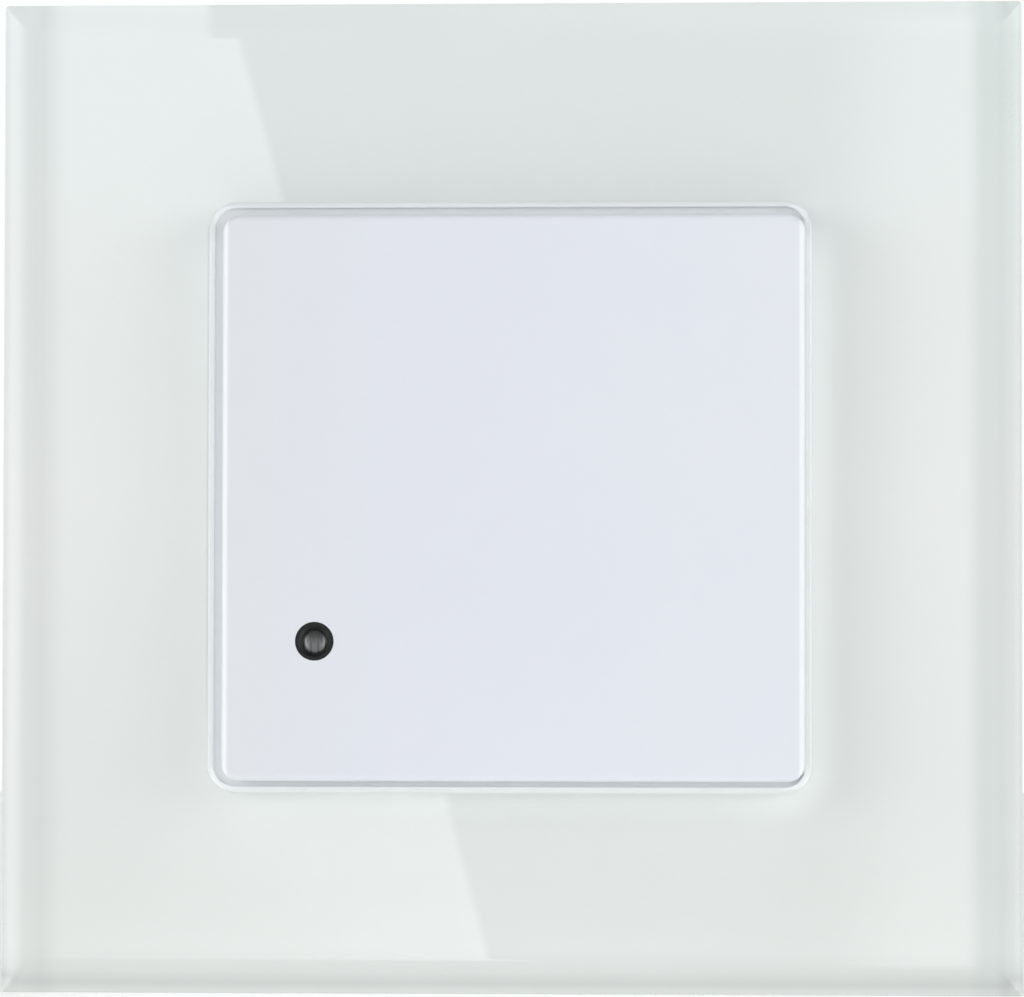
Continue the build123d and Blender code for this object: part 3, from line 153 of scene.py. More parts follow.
class SensorStudio(bpy.types.PropertyGroup):
    camera_place: FloatVectorProperty(
        name="Camera place",
        description="Where the camera stands, in front of the object, a little right of it and below",
        default=(0.035, -0.6, -0.024),
        subtype="XYZ",
        unit="LENGTH",
    )
    camera_aim: FloatVectorProperty(
        name="Camera aim",
        description="Point on the front of the glass that the camera looks at",
        default=(0.00023, -0.0095, -0.00015),
        subtype="XYZ",
        unit="LENGTH",
    )
    camera_roll: FloatProperty(
        name="Camera roll",
        description="Turn of the camera about its own line of sight",
        default=math.radians(0.109),
        unit="ROTATION",
    )
    lens: FloatProperty(name="Lens", description="Focal length in millimetres", default=221.2)
    card_glow: brightness("Card glow", "Extra brightness of the light card that the glass mirrors", 2.25)
    curtain_glow: brightness("Curtain glow", "Extra brightness of the soft band mirrored on the right", 1.8)
    side_glow: brightness("Side glow", "Extra brightness of both side lights", 2.4)
    room_glow: brightness("Room glow", "Brightness of the light all round", 0.933)
    floor_glow: brightness("Floor glow", "Light that the floor gives off by itself", 0.36)


def settings(group):
    """The values that the scene holds for sizes, colours or studio."""
    return getattr(bpy.context.scene, "motion_sensor_" + group)


# Surfaces worked out as grids of points


def rounded_loops(half_x, half_z, corner):
    """Loops round rectangles with quarter-circle corners, one row of points for each entry.

    A corner's points are its centre plus the radius times the cosine and sine of an angle that runs
    through a quarter turn. The straight sides join the end of one corner to the start of the next. Each
    side has one more point a little way in from its ends, so that all of it reflects as a straight one.
    """
    turns = np.linspace(0.0, math.pi / 2, CORNER_STEPS + 1)
    quarter = np.concatenate([turns[:1], turns, turns[-1:]])
    turn = (quarter + np.arange(4)[:, None] * math.pi / 2).ravel()
    along = np.tile(np.concatenate([[-1.0], np.zeros(turns.size), [1.0]]), 4) * KEEP_STRAIGHT
    side_x = np.repeat((1, -1, -1, 1), quarter.size)
    side_z = np.repeat((1, 1, -1, -1), quarter.size)
    half_x, half_z, corner = (np.atleast_1d(v)[:, None] for v in (half_x, half_z, corner))
    x = side_x * (half_x - corner) + corner * np.cos(turn) - along * np.sin(turn)
    z = side_z * (half_z - corner) + corner * np.sin(turn) + along * np.cos(turn)
    return x, z


def ring(name, x, depth, z):
    """A closed ring-shaped skin over rows of points, with one depth for each row.

    Each point is joined to the next one in its row and to the same one in the next row. The last point
    of a row is joined to its first, and the last row to the first row.
    """
    rows, points = x.shape
    y = np.broadcast_to(-depth[:, None], x.shape)
    places = np.stack([x, y, z], axis=-1).reshape(-1, 3)
    near = np.arange(rows * points).reshape(rows, points)
    far = np.roll(near, -1, axis=0)
    faces = np.stack([near, far, np.roll(far, -1, axis=1), np.roll(near, -1, axis=1)], axis=-1)
    mesh = bpy.data.meshes.new(name)
    mesh.from_pydata(places.tolist(), [], faces.reshape(-1, 4).tolist())
    return finished_piece(name, mesh)


def finished_piece(name, mesh):
    """Turns the faces outwards, shades them smooth up to sharp edges and puts the piece in the scene."""
    shell = bmesh.new()
    shell.from_mesh(mesh)
    bmesh.ops.recalc_face_normals(shell, faces=shell.faces)
    shell.to_mesh(mesh)
    shell.free()
    mesh.shade_smooth()
    mesh.set_sharp_from_angle(angle=SMOOTH_BELOW)
    piece = bpy.data.objects.new(name, mesh)
    bpy.context.scene.collection.objects.link(piece)
    return piece


def opening_loops(outset):
    """Loops round the opening, each the given distance outside it."""
    sizes = settings("sizes")
    half_x, half_z = sizes.opening_width / 2, sizes.opening_height / 2
    return rounded_loops(half_x + outset, half_z + outset, sizes.opening_corner + outset)


def glass_pane():
    """The pane as one ring-shaped skin.

    Its section runs from the opening's back edge outwards over the back, the arris and the rim, round the
    front edge and back to the opening. The front edge is an arc: it leaves the flat front smoothly, and
    its inset and depth come from the sine and cosine of an angle up to the one at which it meets the rim.
    A narrow extra strip at both borders of the flat front keeps its mirror image free of bends.
    """
    sizes = settings("sizes")
    back = -PANE_HIGH.y - COAT_CLEARANCE
    front = -PANE_LOW.y
    radius = (sizes.edge_width**2 + sizes.edge_drop**2) / (2 * sizes.edge_drop)
    rim_angle = math.asin(sizes.edge_width / radius)
    angle = np.linspace(rim_angle, 0.0, EDGE_STEPS)
    arc_inset = sizes.edge_width - radius * np.sin(angle)
    arc_depth = front - radius * (1 - np.cos(angle))
    inset = np.concatenate([[sizes.back_arris, 0.0], arc_inset, [sizes.edge_width + KEEP_STRAIGHT]])
    depth = np.concatenate([[back, back + sizes.back_arris], arc_depth, [front]])
    outer_x, outer_z = rounded_loops(PANE_HIGH.x - inset, PANE_HIGH.z - inset, PANE_CORNER)
    outset = np.array([OPENING_ROUNDING + KEEP_STRAIGHT, OPENING_ROUNDING, 0.0, 0.0])
    inner_depth = np.array([front, front, front - OPENING_ROUNDING, back])
    inner_x, inner_z = opening_loops(outset)
    x = np.concatenate([outer_x, inner_x])
    z = np.concatenate([outer_z, inner_z])
    depth = np.concatenate([depth, inner_depth])
    return ring("glass_pane", x, depth, z)


def lacquer_coat():
    """The white coat as a thin ring-shaped skin.

    Its section is a rectangle from the opening, where it meets the collar, to the arris of the glass.
    """
    low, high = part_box("lacquer_film")
    inset = np.full(2, settings("sizes").back_arris)
    outer_x, outer_z = rounded_loops(PANE_HIGH.x - inset, PANE_HIGH.z - inset, COAT_CORNER)
    inner_x, inner_z = opening_loops(np.zeros(2))
    depth = np.array([-high.y, -low.y, -low.y, -high.y])
    x = np.concatenate([outer_x, inner_x])
    z = np.concatenate([outer_z, inner_z])
    return ring("lacquer_coat", x, depth, z)


# Shader nodes


def add(material, kind, inputs=None, **options):
    """Adds a shader node. An input that is a socket is linked, and anything else is its value."""
    made = material.node_tree.nodes.new("ShaderNode" + kind)
    for name, value in options.items():
        setattr(made, name, value)
    for name, value in (inputs or {}).items():
        if isinstance(value, bpy.types.NodeSocket):
            material.node_tree.links.new(value, made.inputs[name])
        else:
            made.inputs[name].default_value = value
    return made


def new_finish(name, base, roughness, metallic=0.0, **sockets):
    """A material with one surface shader; extra sockets are given with underscores for spaces."""
    material = bpy.data.materials.new(name)
    material.use_nodes = True
    shader = material.node_tree.nodes["Principled BSDF"]
    shader.inputs["Base Color"].default_value = (*base, 1.0)
    shader.inputs["Roughness"].default_value = roughness
    shader.inputs["Metallic"].default_value = metallic
    for socket, value in sockets.items():
        shader.inputs[socket.replace("_", " ")].default_value = value
    return material


def surface(material):
    """The surface shader that new_finish has set up."""
    return material.node_tree.nodes["Principled BSDF"]


def connect(material, output, socket):
    material.node_tree.links.new(output, surface(material).inputs[socket])


def base_shade(material):
    """The socket that feeds the base colour."""
    return surface(material).inputs["Base Color"].links[0].from_socket


def place(material, **options):
    """Object coordinates, shifted, turned or stretched by the options Location, Rotation or Scale."""
    coordinates = add(material, "TexCoord").outputs["Object"]
    return add(material, "Mapping", {"Vector": coordinates, **options}).outputs["Vector"]


def split(material, vector):
    """The three parts of a vector, each a socket."""
    parts = add(material, "SeparateXYZ", {"Vector": vector})
    return tuple(parts.outputs[axis] for axis in "XYZ")


def object_axes(material):
    """X, Y and Z of object coordinates, each a socket."""
    return split(material, add(material, "TexCoord").outputs["Object"])


def noise(material, grain, detail=3.0, stretch=(1.0, 1.0, 1.0)):
    """Noise whose grains are about the given length across."""
    where = place(material, Scale=stretch)
    inputs = {"Vector": where, "Scale": 1.0 / grain, "Detail": detail}
    return add(material, "TexNoise", inputs).outputs["Fac"]


def ramp(material, value, *stops):
    """Turns a value into a colour by stops of (value, colour)."""
    made = add(material, "ValToRGB", {"Fac": value})
    band = made.color_ramp
    while len(band.elements) < len(stops):
        band.elements.new(0.5)
    for element, (at, shade) in zip(band.elements, stops):
        element.position = at
        element.color = (*shade, 1.0)
    return made.outputs["Color"]


def remap(material, value, low, high, to_low, to_high, smooth=False):
    """Turns the range from low to high into another one, and keeps to its ends outside it."""
    inputs = {"Value": value, "From Min": low, "From Max": high, "To Min": to_low, "To Max": to_high}
    kind = "SMOOTHSTEP" if smooth else "LINEAR"
    return add(material, "MapRange", inputs, interpolation_type=kind).outputs["Result"]


def sums(material, operation, first, second=0.0, third=0.0):
    """One step of arithmetic on sockets and numbers."""
    made = add(material, "Math", operation=operation)
    for socket, value in zip(made.inputs, (first, second, third)):
        if isinstance(value, bpy.types.NodeSocket):
            material.node_tree.links.new(value, socket)
        else:
            socket.default_value = value
    return made.outputs[0]


def product(material, *factors):
    """Multiplies any number of values."""
    result = factors[0]
    for factor in factors[1:]:
        result = sums(material, "MULTIPLY", result, factor)
    return result


def scaled(base, factor):
    """A colour made darker or lighter, but no lighter than white."""
    return [min(1.0, part * factor) for part in base]


def mottle(material, base, grain, amount):
    """Makes the base colour a little lighter and darker in patches."""
    patches = noise(material, grain)
    shade = ramp(material, patches, (0.3, scaled(base, 1 - amount)), (0.7, scaled(base, 1 + amount)))
    connect(material, shade, "Base Color")


def bump(material, height, strength, distance):
    """Raises and lowers the surface a little by the given height."""
    made = add(material, "Bump", {"Height": height, "Strength": strength, "Distance": distance})
    connect(material, made.outputs["Normal"], "Normal")


def uneven_gloss(material, low, high, grain):
    """Lets the roughness wander between two values in patches."""
    patches = noise(material, grain)
    connect(material, remap(material, patches, 0.3, 0.7, low, high), "Roughness")


def blocked_light(material):
    """One for shadow rays and light rays from matt surfaces, which pass straight through clear pieces."""
    path = add(material, "LightPath")
    return sums(material, "MAXIMUM", path.outputs["Is Shadow Ray"], path.outputs["Is Diffuse Ray"])


def let_light_through(material):
    """Puts a see-through shader in place of the surface for the rays that blocked_light names."""
    output = material.node_tree.nodes["Material Output"]
    clear = add(material, "BsdfTransparent")
    mixed = add(material, "MixShader", {"Fac": blocked_light(material)})
    links = material.node_tree.links
    links.new(surface(material).outputs[0], mixed.inputs[1])
    links.new(clear.outputs[0], mixed.inputs[2])
    links.new(mixed.outputs[0], output.inputs["Surface"])


# Finishes of the frame and plate


def polished_glass():
    """Float glass: clear, faintly green through its thickness, with barely uneven polishing."""
    material = new_finish("glass_polish", CLEAR_GLASS, 0.0, Transmission_Weight=1.0, IOR=1.5)
    uneven_gloss(material, 0.0, 0.012, 18 * MM)
    tint = add(material, "VolumeAbsorption", {"Color": (*settings("colours").glass, 1.0), "Density": 18.0})
    let_light_through(material)
    output = material.node_tree.nodes["Material Output"]
    material.node_tree.links.new(tint.outputs[0], output.inputs["Volume"])
    return material


def tone_stops(material, value, reach, *stops, tint=UNCHANGED):
    """A factor that depends on a distance up to the reach; each stop is (distance in mm, factor)."""
    share = remap(material, value, 0.0, reach * MM, 0.0, 1.0)
    return ramp(material, share, *((at / reach, scaled(tint, tone)) for at, tone in stops))


def tint_with(material, shade, *factors):
    """Multiplies a shade by factors, each a socket, and makes it the base colour."""
    for factor in factors:
        made = add(material, "VectorMath", operation="MULTIPLY")
        material.node_tree.links.new(shade, made.inputs[0])
        material.node_tree.links.new(factor, made.inputs[1])
        shade = made.outputs[0]
    connect(material, shade, "Base Color")


def past_opening(material, x, z):
    """Distances past the sides and past the top or bottom of the opening, less than nought inside it."""
    sizes = settings("sizes")
    past_side = sums(material, "SUBTRACT", sums(material, "ABSOLUTE", x), sizes.opening_width / 2)
    past_end = sums(material, "SUBTRACT", sums(material, "ABSOLUTE", z), sizes.opening_height / 2)
    return past_side, past_end


def outside_opening(material, past_side, past_end):
    """Distance outside the opening, round its corners too."""
    corner = settings("sizes").opening_corner
    across = sums(material, "MAXIMUM", sums(material, "ADD", past_side, corner), 0.0)
    upwards = sums(material, "MAXIMUM", sums(material, "ADD", past_end, corner), 0.0)
    squares = sums(material, "ADD", product(material, across, across), product(material, upwards, upwards))
    return sums(material, "SUBTRACT", sums(material, "SQRT", squares), corner)


def painted_edge_shade(material, x, z):
    """Painted shade: soft darker bands just inside the left, right and bottom edges."""
    from_left = sums(material, "SUBTRACT", x, PANE_LOW.x)
    from_right = sums(material, "SUBTRACT", PANE_HIGH.x, x)
    from_bottom = sums(material, "SUBTRACT", z, PANE_LOW.z)
    left = tone_stops(material, from_left, 8, (0, 0.97), (2, 0.97), (3.5, 0.91), (4.5, 0.95), (5.4, 0.99))
    right = tone_stops(
        material,
        from_right,
        8,
        (1, 0.90),
        (1.5, 0.835),
        (2.6, 0.935),
        (3.8, 0.93),
        (5.2, 1.0),
        tint=(1.0, 1.02, 1.015),
    )
    low = tone_stops(
        material,
        from_bottom,
        6,
        (1, 0.90),
        (1.5, 0.782),
        (2.3, 0.905),
        (3.2, 0.965),
        (4.2, 1.0),
    )
    return left, right, low


def painted_height_shade(material, z):
    """Painted shade from the bottom to the top of the pane: none at half its height, a little towards the
    bottom and the top.
    """
    height = remap(material, z, PANE_LOW.z, PANE_HIGH.z, 0.0, 1.0)
    return ramp(
        material,
        height,
        (0.0, (0.97, 0.98, 0.97)),
        (0.1, (0.945, 0.955, 0.945)),
        (0.5, UNCHANGED),
        (1.0, (0.965, 1.0, 1.0)),
    )


def painted_top_light(material, x, z):
    """Painted light: a slightly lighter band along the top edge, stronger towards the right."""
    from_top = sums(material, "SUBTRACT", PANE_HIGH.z, z)
    lift = remap(material, x, -40 * MM, 30 * MM, 0.02, 0.062, smooth=True)
    near_top = remap(material, from_top, 1.4 * MM, 3.2 * MM, 1.0, 0.0, smooth=True)
    return sums(material, "MULTIPLY_ADD", near_top, lift, 1.0)


def painted_opening_light(material, x, z):
    """Painted light: a pale halo beside the opening, strongest on its lower right."""
    past = outside_opening(material, *past_opening(material, x, z))
    beside = remap(material, past, 0.0, 3.4 * MM, 1.0, 0.0, smooth=True)
    diagonal = sums(material, "SUBTRACT", x, z)
    lower_right = remap(material, diagonal, 0.0, 10 * MM, 0.2, 1.0, smooth=True)
    rightwards = remap(material, x, -20 * MM, 28 * MM, 0.75, 1.0)
    glow = product(material, beside, lower_right, rightwards)
    return remap(material, glow, 0.0, 1.0, 0.90, 1.05)


def painted_seam_shadow(material, x, z):
    """Painted shadow: a thin grey line close round the upper left of the opening, a little nearer to its
    top.
    """
    past_side, past_end = past_opening(material, x, z)
    higher = sums(material, "ADD", past_end, 0.24 * MM)
    past = outside_opening(material, past_side, higher)
    thin_line = remap(material, past, 0.5 * MM, 0.62 * MM, 1.0, 0.0)
    diagonal = sums(material, "SUBTRACT", x, z)
    upper_left = remap(material, diagonal, -14 * MM, -4 * MM, 1.0, 0.0, smooth=True)
    share = product(material, thin_line, upper_left)
    return ramp(material, share, (0.0, UNCHANGED), (1.0, (0.84, 0.85, 0.86)))


def white_lacquer():
    """Rolled white coat seen through the glass, with painted shade and painted light along its edges and
    round the opening.
    """
    base = settings("colours").lacquer
    material = new_finish("lacquer_coat", base, 0.45)
    x, _, z = object_axes(material)
    coat = ramp(material, noise(material, 9 * MM), (0.3, scaled(base, 0.992)), (0.7, base))
    # Painted light and shade: darker bands inside the edges, shade by height, a lighter top band, a pale
    # halo and a shadow line round the opening.
    painted_light_and_shade = (
        *painted_edge_shade(material, x, z),
        painted_height_shade(material, z),
        painted_top_light(material, x, z),
        painted_opening_light(material, x, z),
        painted_seam_shadow(material, x, z),
    )
    tint_with(material, coat, *painted_light_and_shade)
    bump(material, noise(material, 0.5 * MM), 0.05, 0.02 * MM)
    return material


def foam_tape():
    """Soft closed-cell foam."""
    material = new_finish("tape_foam", FOAM, 0.85)
    mottle(material, FOAM, 0.8 * MM, 0.06)
    bump(material, noise(material, 0.25 * MM), 0.5, 0.06 * MM)
    return material


def satin_plastic(name, base, roughness):
    """Moulded plastic with a very fine grain and slightly uneven gloss."""
    grain = settings("sizes").grain
    material = new_finish(name, base, roughness)
    mottle(material, base, 14 * MM, 0.006)
    uneven_gloss(material, roughness * 0.92, roughness * 1.08, 6 * MM)
    bump(material, noise(material, grain, detail=2.0), 0.08, 0.01 * MM)
    return material


def plate_plastic():
    """The plate's satin plastic.

    It is a touch cooler towards the right, a painted tint of warmer light from the left. Both upright edges
    have painted shade at their outermost corner and a painted highlight just inside it.
    """
    material = satin_plastic("plate_plastic_satin", settings("colours").plate, 0.36)
    x, _, _ = object_axes(material)
    across = remap(material, x, PLATE_LOW.x, PLATE_HIGH.x, 0.0, 1.0)
    # Painted tint of the light: warmer on the left, a touch cooler on the right.
    painted_light_tint = ramp(
        material,
        across,
        (0.008, (0.985, 0.98, 0.995)),
        (0.014, (0.965, 0.965, 0.93)),
        (0.3, (0.975, 0.97, 0.965)),
        (1.0, (1.0, 1.0, 0.985)),
    )
    middle = (PLATE_LOW.x + PLATE_HIGH.x) / 2
    half = (PLATE_HIGH.x - PLATE_LOW.x) / 2
    off_middle = sums(material, "ABSOLUTE", sums(material, "SUBTRACT", x, middle))
    inward = sums(material, "SUBTRACT", half, off_middle)
    share = remap(material, inward, 0.0, 1.0 * MM, 0.0, 1.0)
    # Painted highlight just inside both upright edges, with painted shade at their outermost corner.
    painted_edge_highlight = ramp(
        material,
        share,
        (0.02, (0.88, 0.88, 0.9)),
        (0.28, UNCHANGED),
        (0.4, UNCHANGED),
        (0.66, (0.856, 0.856, 0.915)),
    )
    tint_with(material, base_shade(material), painted_light_tint, painted_edge_highlight)
    return material


def painted_gap_glow(material, x, y):
    """Painted glow in the narrow gap on the plate's right, standing in for light that comes through the
    thin collar.
    """
    left, right = PLATE_HIGH.x - 0.1 * MM, PLATE_HIGH.x + 0.15 * MM
    front, back = -9.9 * MM, -9.2 * MM
    strength = 0.25
    return product(
        material,
        sums(material, "GREATER_THAN", x, left),
        sums(material, "LESS_THAN", x, right),
        sums(material, "GREATER_THAN", y, front),
        sums(material, "LESS_THAN", y, back),
        strength,
    )


def carrier_plastic():
    """White plastic, with painted shade on the collar's outer lip and along its top and bottom."""
    material = satin_plastic("carrier_plastic", settings("colours").carrier, 0.4)
    x, y, z = object_axes(material)
    inwards = sums(material, "MAXIMUM", *past_opening(material, x, z))
    # Painted shade on the collar's outer lip.
    lip = remap(material, inwards, -0.45 * MM, -0.2 * MM, 1.0, 0.912, smooth=True)
    half = settings("sizes").opening_height / 2
    height = remap(material, z, -half, half, 0.0, 1.0)
    # Painted shade along the top and bottom of the collar.
    ends = ramp(
        material,
        height,
        (0.005, (0.93, 0.93, 0.93)),
        (0.02, UNCHANGED),
        (0.93, UNCHANGED),
        (0.97, (0.905, 0.905, 0.91)),
        (0.995, (0.92, 0.92, 0.925)),
    )
    tint_with(material, base_shade(material), lip, ends)
    # Painted glow: the carrier gives off light inside the gap on the plate's right.
    surface(material).inputs["Emission Color"].default_value = (1.0, 1.0, 1.0, 1.0)
    connect(material, painted_gap_glow(material, x, y), "Emission Strength")
    return material


def black_bezel_plastic():
    """Glossy black plastic with handling marks."""
    material = new_finish("bezel_black", BEZEL_BLACK, 0.32, Specular_IOR_Level=0.22)
    mottle(material, BEZEL_BLACK, 0.6 * MM, 0.25)
    uneven_gloss(material, 0.22, 0.42, 0.5 * MM)
    bump(material, noise(material, 0.12 * MM), 0.2, 0.02 * MM)
    return material


def winding_slits(material, x, z):
    """One in the dark slits that reach in turn from the top and from the bottom of the cell's face."""
    pitch = 0.34 * MM
    swing = sums(material, "PINGPONG", sums(material, "ADD", x, 10 * pitch), pitch)
    from_top = product(
        material,
        remap(material, swing, 0.03 * MM, 0.12 * MM, 1.0, 0.0),
        remap(material, z, -0.25 * MM, -0.05 * MM, 0.0, 1.0),
    )
    from_bottom = product(
        material,
        remap(material, swing, pitch - 0.12 * MM, pitch - 0.03 * MM, 0.0, 1.0),
        remap(material, z, -0.1 * MM, 0.1 * MM, 1.0, 0.0),
    )
    return sums(material, "MAXIMUM", from_top, from_bottom)


def photocell_face(name):
    """A pale ceramic face with a dark winding track, under a glossy clear coat.

    It is darker towards its top and its middle.
    """
    centre = (EYE_LOW + EYE_HIGH) / 2
    material = new_finish(name, CELL_GREY, 0.3, Coat_Weight=1.0, Coat_Roughness=0.03)
    x, _, z = split(material, place(material, Location=(-centre.x, 0.0, -centre.z)))
    grey = sums(material, "MULTIPLY_ADD", winding_slits(material, x, z), -0.85, 1.0)
    rise = remap(material, z, 0.6 * MM, -0.4 * MM, 0.25, 1.0, smooth=True)
    rim = remap(material, sums(material, "ABSOLUTE", x), 0.35 * MM, 0.95 * MM, 0.45, 1.0, smooth=True)
    tone = product(material, grey, rise, rim)
    connect(material, ramp(material, tone, (0.0, BEZEL_BLACK), (1.0, CELL_GREY)), "Base Color")
    return material


# Finishes of the metal pieces


def zinc_plate():
    """Stamped steel with a dull zinc coat: streaks along the sheet, spangle and handling marks."""
    base = settings("colours").steel
    material = new_finish("zinc_plate", base, 0.38, metallic=1.0)
    patches = noise(material, 3.5 * MM, detail=5.0)
    shade = ramp(material, patches, (0.3, scaled(base, 0.82)), (0.7, base))
    connect(material, shade, "Base Color")
    streaks = noise(material, 0.35 * MM, detail=4.0, stretch=(0.06, 1.0, 1.0))
    connect(material, remap(material, streaks, 0.3, 0.7, 0.28, 0.5), "Roughness")
    bump(material, streaks, 0.12, 0.01 * MM)
    return material


def plain_metal(name, base, roughness):
    """Bare or plated metal with slight tarnish."""
    material = new_finish(name, base, roughness, metallic=1.0)
    mottle(material, base, 1.2 * MM, 0.12)
    uneven_gloss(material, roughness * 0.7, roughness * 1.4, 0.8 * MM)
    bump(material, noise(material, 0.2 * MM), 0.1, 0.01 * MM)
    return material


def wound_copper():
    """Enamelled wire wound in close turns round the relay's core."""
    material = new_finish("coil_winding", COIL_COPPER, 0.25, metallic=1.0, Coat_Weight=0.6)
    inputs = {"Vector": place(material), "Scale": 1.0 / (1.6 * MM), "Distortion": 0.6, "Detail": 1.0}
    turns = add(material, "TexWave", inputs, bands_direction="Z").outputs["Fac"]
    shade = ramp(material, turns, (0.0, scaled(COIL_COPPER, 0.4)), (1.0, COIL_COPPER))
    connect(material, shade, "Base Color")
    bump(material, turns, 0.5, 0.05 * MM)
    return material


# Finishes of the housings and boards


def moulded_housing():
    """Light grey moulding with a spark-eroded texture, a little glossier where it has been handled."""
    base = settings("colours").housing
    material = new_finish("housing_moulding", base, 0.5)
    mottle(material, base, 11 * MM, 0.03)
    uneven_gloss(material, 0.42, 0.6, 7 * MM)
    bump(material, noise(material, 0.3 * MM), 0.25, 0.03 * MM)
    return material


def moulded(name, base, roughness, grain=0.3 * MM, strength=0.2):
    """Any other moulded part: mottled, unevenly glossy and finely grained."""
    material = new_finish(name, base, roughness)
    mottle(material, base, 1.5 * MM, 0.10)
    uneven_gloss(material, roughness * 0.85, roughness * 1.2, 1.5 * MM)
    bump(material, noise(material, grain), strength, 0.02 * MM)
    return material


def solder_mask():
    """Green board: raised copper tracks show lighter through the mask."""
    base = settings("colours").board
    material = new_finish("board_mask", base, 0.3, Coat_Weight=0.3)
    tracks = {
        "Vector": place(material, Rotation=(math.pi / 2, 0.0, 0.0)),
        "Scale": 1.0,
        "Brick Width": 2.6 * MM,
        "Row Height": 1.3 * MM,
        "Mortar Size": 0.16 * MM,
        "Mortar Smooth": 0.2,
    }
    cells = add(material, "TexBrick", tracks).outputs["Fac"]
    light = [min(1.0, part * 1.9 + 0.01) for part in base]
    connect(material, ramp(material, cells, (0.0, base), (1.0, light)), "Base Color")
    bump(material, cells, 0.4, 0.03 * MM)
    return material


def sleeved_can():
    """Capacitor: dark printed sleeve with a pale stripe down one side."""
    low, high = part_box("smoothing_capacitor")
    material = new_finish("capacitor_sleeve", SLEEVE_BLUE, 0.3, Coat_Weight=0.4)
    _, _, z = object_axes(material)
    stripe = sums(material, "GREATER_THAN", z, high.z - 0.22 * (high.z - low.z))
    shade = ramp(material, stripe, (0.4, SLEEVE_BLUE), (0.6, SLEEVE_STRIPE))
    connect(material, shade, "Base Color")
    bump(material, noise(material, 0.4 * MM), 0.08, 0.02 * MM)
    return material


# Which finish goes on which node


def dress(material, *names):
    """Gives CAD nodes a finish by their material slots."""
    for name in names:
        piece = NODES[name]
        if not piece.data.materials:
            piece.data.materials.append(material)
        for slot in piece.material_slots:
            slot.material = material


class SensorOperator:
    """What every step has in common."""

    bl_options = {"REGISTER", "UNDO"}

    @classmethod
    def poll(cls, context):
        return context.scene is not None


class MOTION_SENSOR_OT_studio(SensorOperator, bpy.types.Operator):
    """Camera, floor and the light of the room"""

    bl_idname = "motion_sensor.studio"
    bl_label = "Studio"

    def execute(self, context):
        clear_default_scene()
        make_camera()
        make_floor()
        make_room_light()
        context.scene.view_settings.view_transform = "Standard"
        return {"FINISHED"}


class MOTION_SENSOR_OT_glass_frame(SensorOperator, bpy.types.Operator):
    """Glass pane with its white coat, tape and carrier"""

    bl_idname = "motion_sensor.glass_frame"
    bl_label = "Glass frame"

    def execute(self, context):
        pane = glass_pane()
        pane.data.materials.append(polished_glass())
        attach(pane, "frame")
        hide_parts("glass_panel")
        coat = lacquer_coat()
        coat.data.materials.append(white_lacquer())
        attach(coat, "frame")
        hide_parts("lacquer_film")
        dress(foam_tape(), "bonding_tape")
        dress(carrier_plastic(), "frame_carrier")
        return {"FINISHED"}


class MOTION_SENSOR_OT_centre_plate(SensorOperator, bpy.types.Operator):
    """Satin centre plate with the black bezel and lens of the light sensor"""

    bl_idname = "motion_sensor.centre_plate"
    bl_label = "Centre plate"

    def execute(self, context):
        dress(plate_plastic(), "centre_plate")
        dress(black_bezel_plastic(), "sensor_bezel")
        dress(photocell_face("lens_face"), "sensor_lens")
        dress(photocell_face("cell_face"), "light_sensor")
        return {"FINISHED"}


class MOTION_SENSOR_OT_ring_and_claws(SensorOperator, bpy.types.Operator):
    """Zinc-plated ring, claws, nuts and screws"""

    bl_idname = "motion_sensor.ring_and_claws"
    bl_label = "Ring and claws"

    def execute(self, context):
        zinc = zinc_plate()
        dress(zinc, "support_ring", "housing_screws")
        for end in ("top", "bottom"):
            dress(zinc, f"claw_{end}", f"claw_nut_{end}", f"claw_screw_{end}")
        return {"FINISHED"}


class MOTION_SENSOR_OT_housing(SensorOperator, bpy.types.Operator):
    """Front and rear housing with the terminals"""

    bl_idname = "motion_sensor.housing"
    bl_label = "Housing and terminals"

    def execute(self, context):
        dress(moulded_housing(), "housing_front", "housing_rear")
        blocks = ("terminal_block_left", "terminal_block_right")
        clamps = (*numbered("terminal_screw"), *numbered("terminal_cage"))
        dress(moulded("terminal_moulding", TERMINAL_PLASTIC, 0.45), *blocks)
        dress(plain_metal("terminal_steel", TERMINAL_STEEL, 0.3), *clamps)
        dress(plain_metal("contact_brass", CONTACT_BRASS, 0.32), "contact_bars")
        return {"FINISHED"}


def numbered(name):
    """The names of the four like pieces of the terminals."""
    return [f"{name}_{i}" for i in range(1, 5)]


class MOTION_SENSOR_OT_radar_board(SensorOperator, bpy.types.Operator):
    """Radar board with its antenna, chips, trimmers and header"""

    bl_idname = "motion_sensor.radar_board"
    bl_label = "Radar board"

    def execute(self, context):
        dress(solder_mask(), "radar_board", "power_board")
        dress(plain_metal("antenna_copper", ANTENNA_COPPER, 0.3), "antenna_patches")
        dress(plain_metal("tinned_steel", TINNED_STEEL, 0.22), "shield_can")
        chips = moulded("chip_moulding", CHIP_PLASTIC, 0.5, 0.15 * MM)
        dress(chips, "radar_transistor", "microcontroller")
        dress(moulded("chip_ceramic", CHIP_CERAMIC, 0.55, 0.2 * MM), "chip_components")
        dress(moulded("trimmer_body", TRIMMER_BLUE, 0.5), "trimmer_bases")
        for use in ("range", "light", "time"):
            dress(moulded(f"rotor_{use}", ROTOR_ORANGE, 0.4), f"trimmer_rotor_{use}")
        dress(plain_metal("header_gold", HEADER_GOLD, 0.25), "header_pins")
        dress(moulded("header_plastic", HEADER_PLASTIC, 0.45), "header_socket")
        return {"FINISHED"}


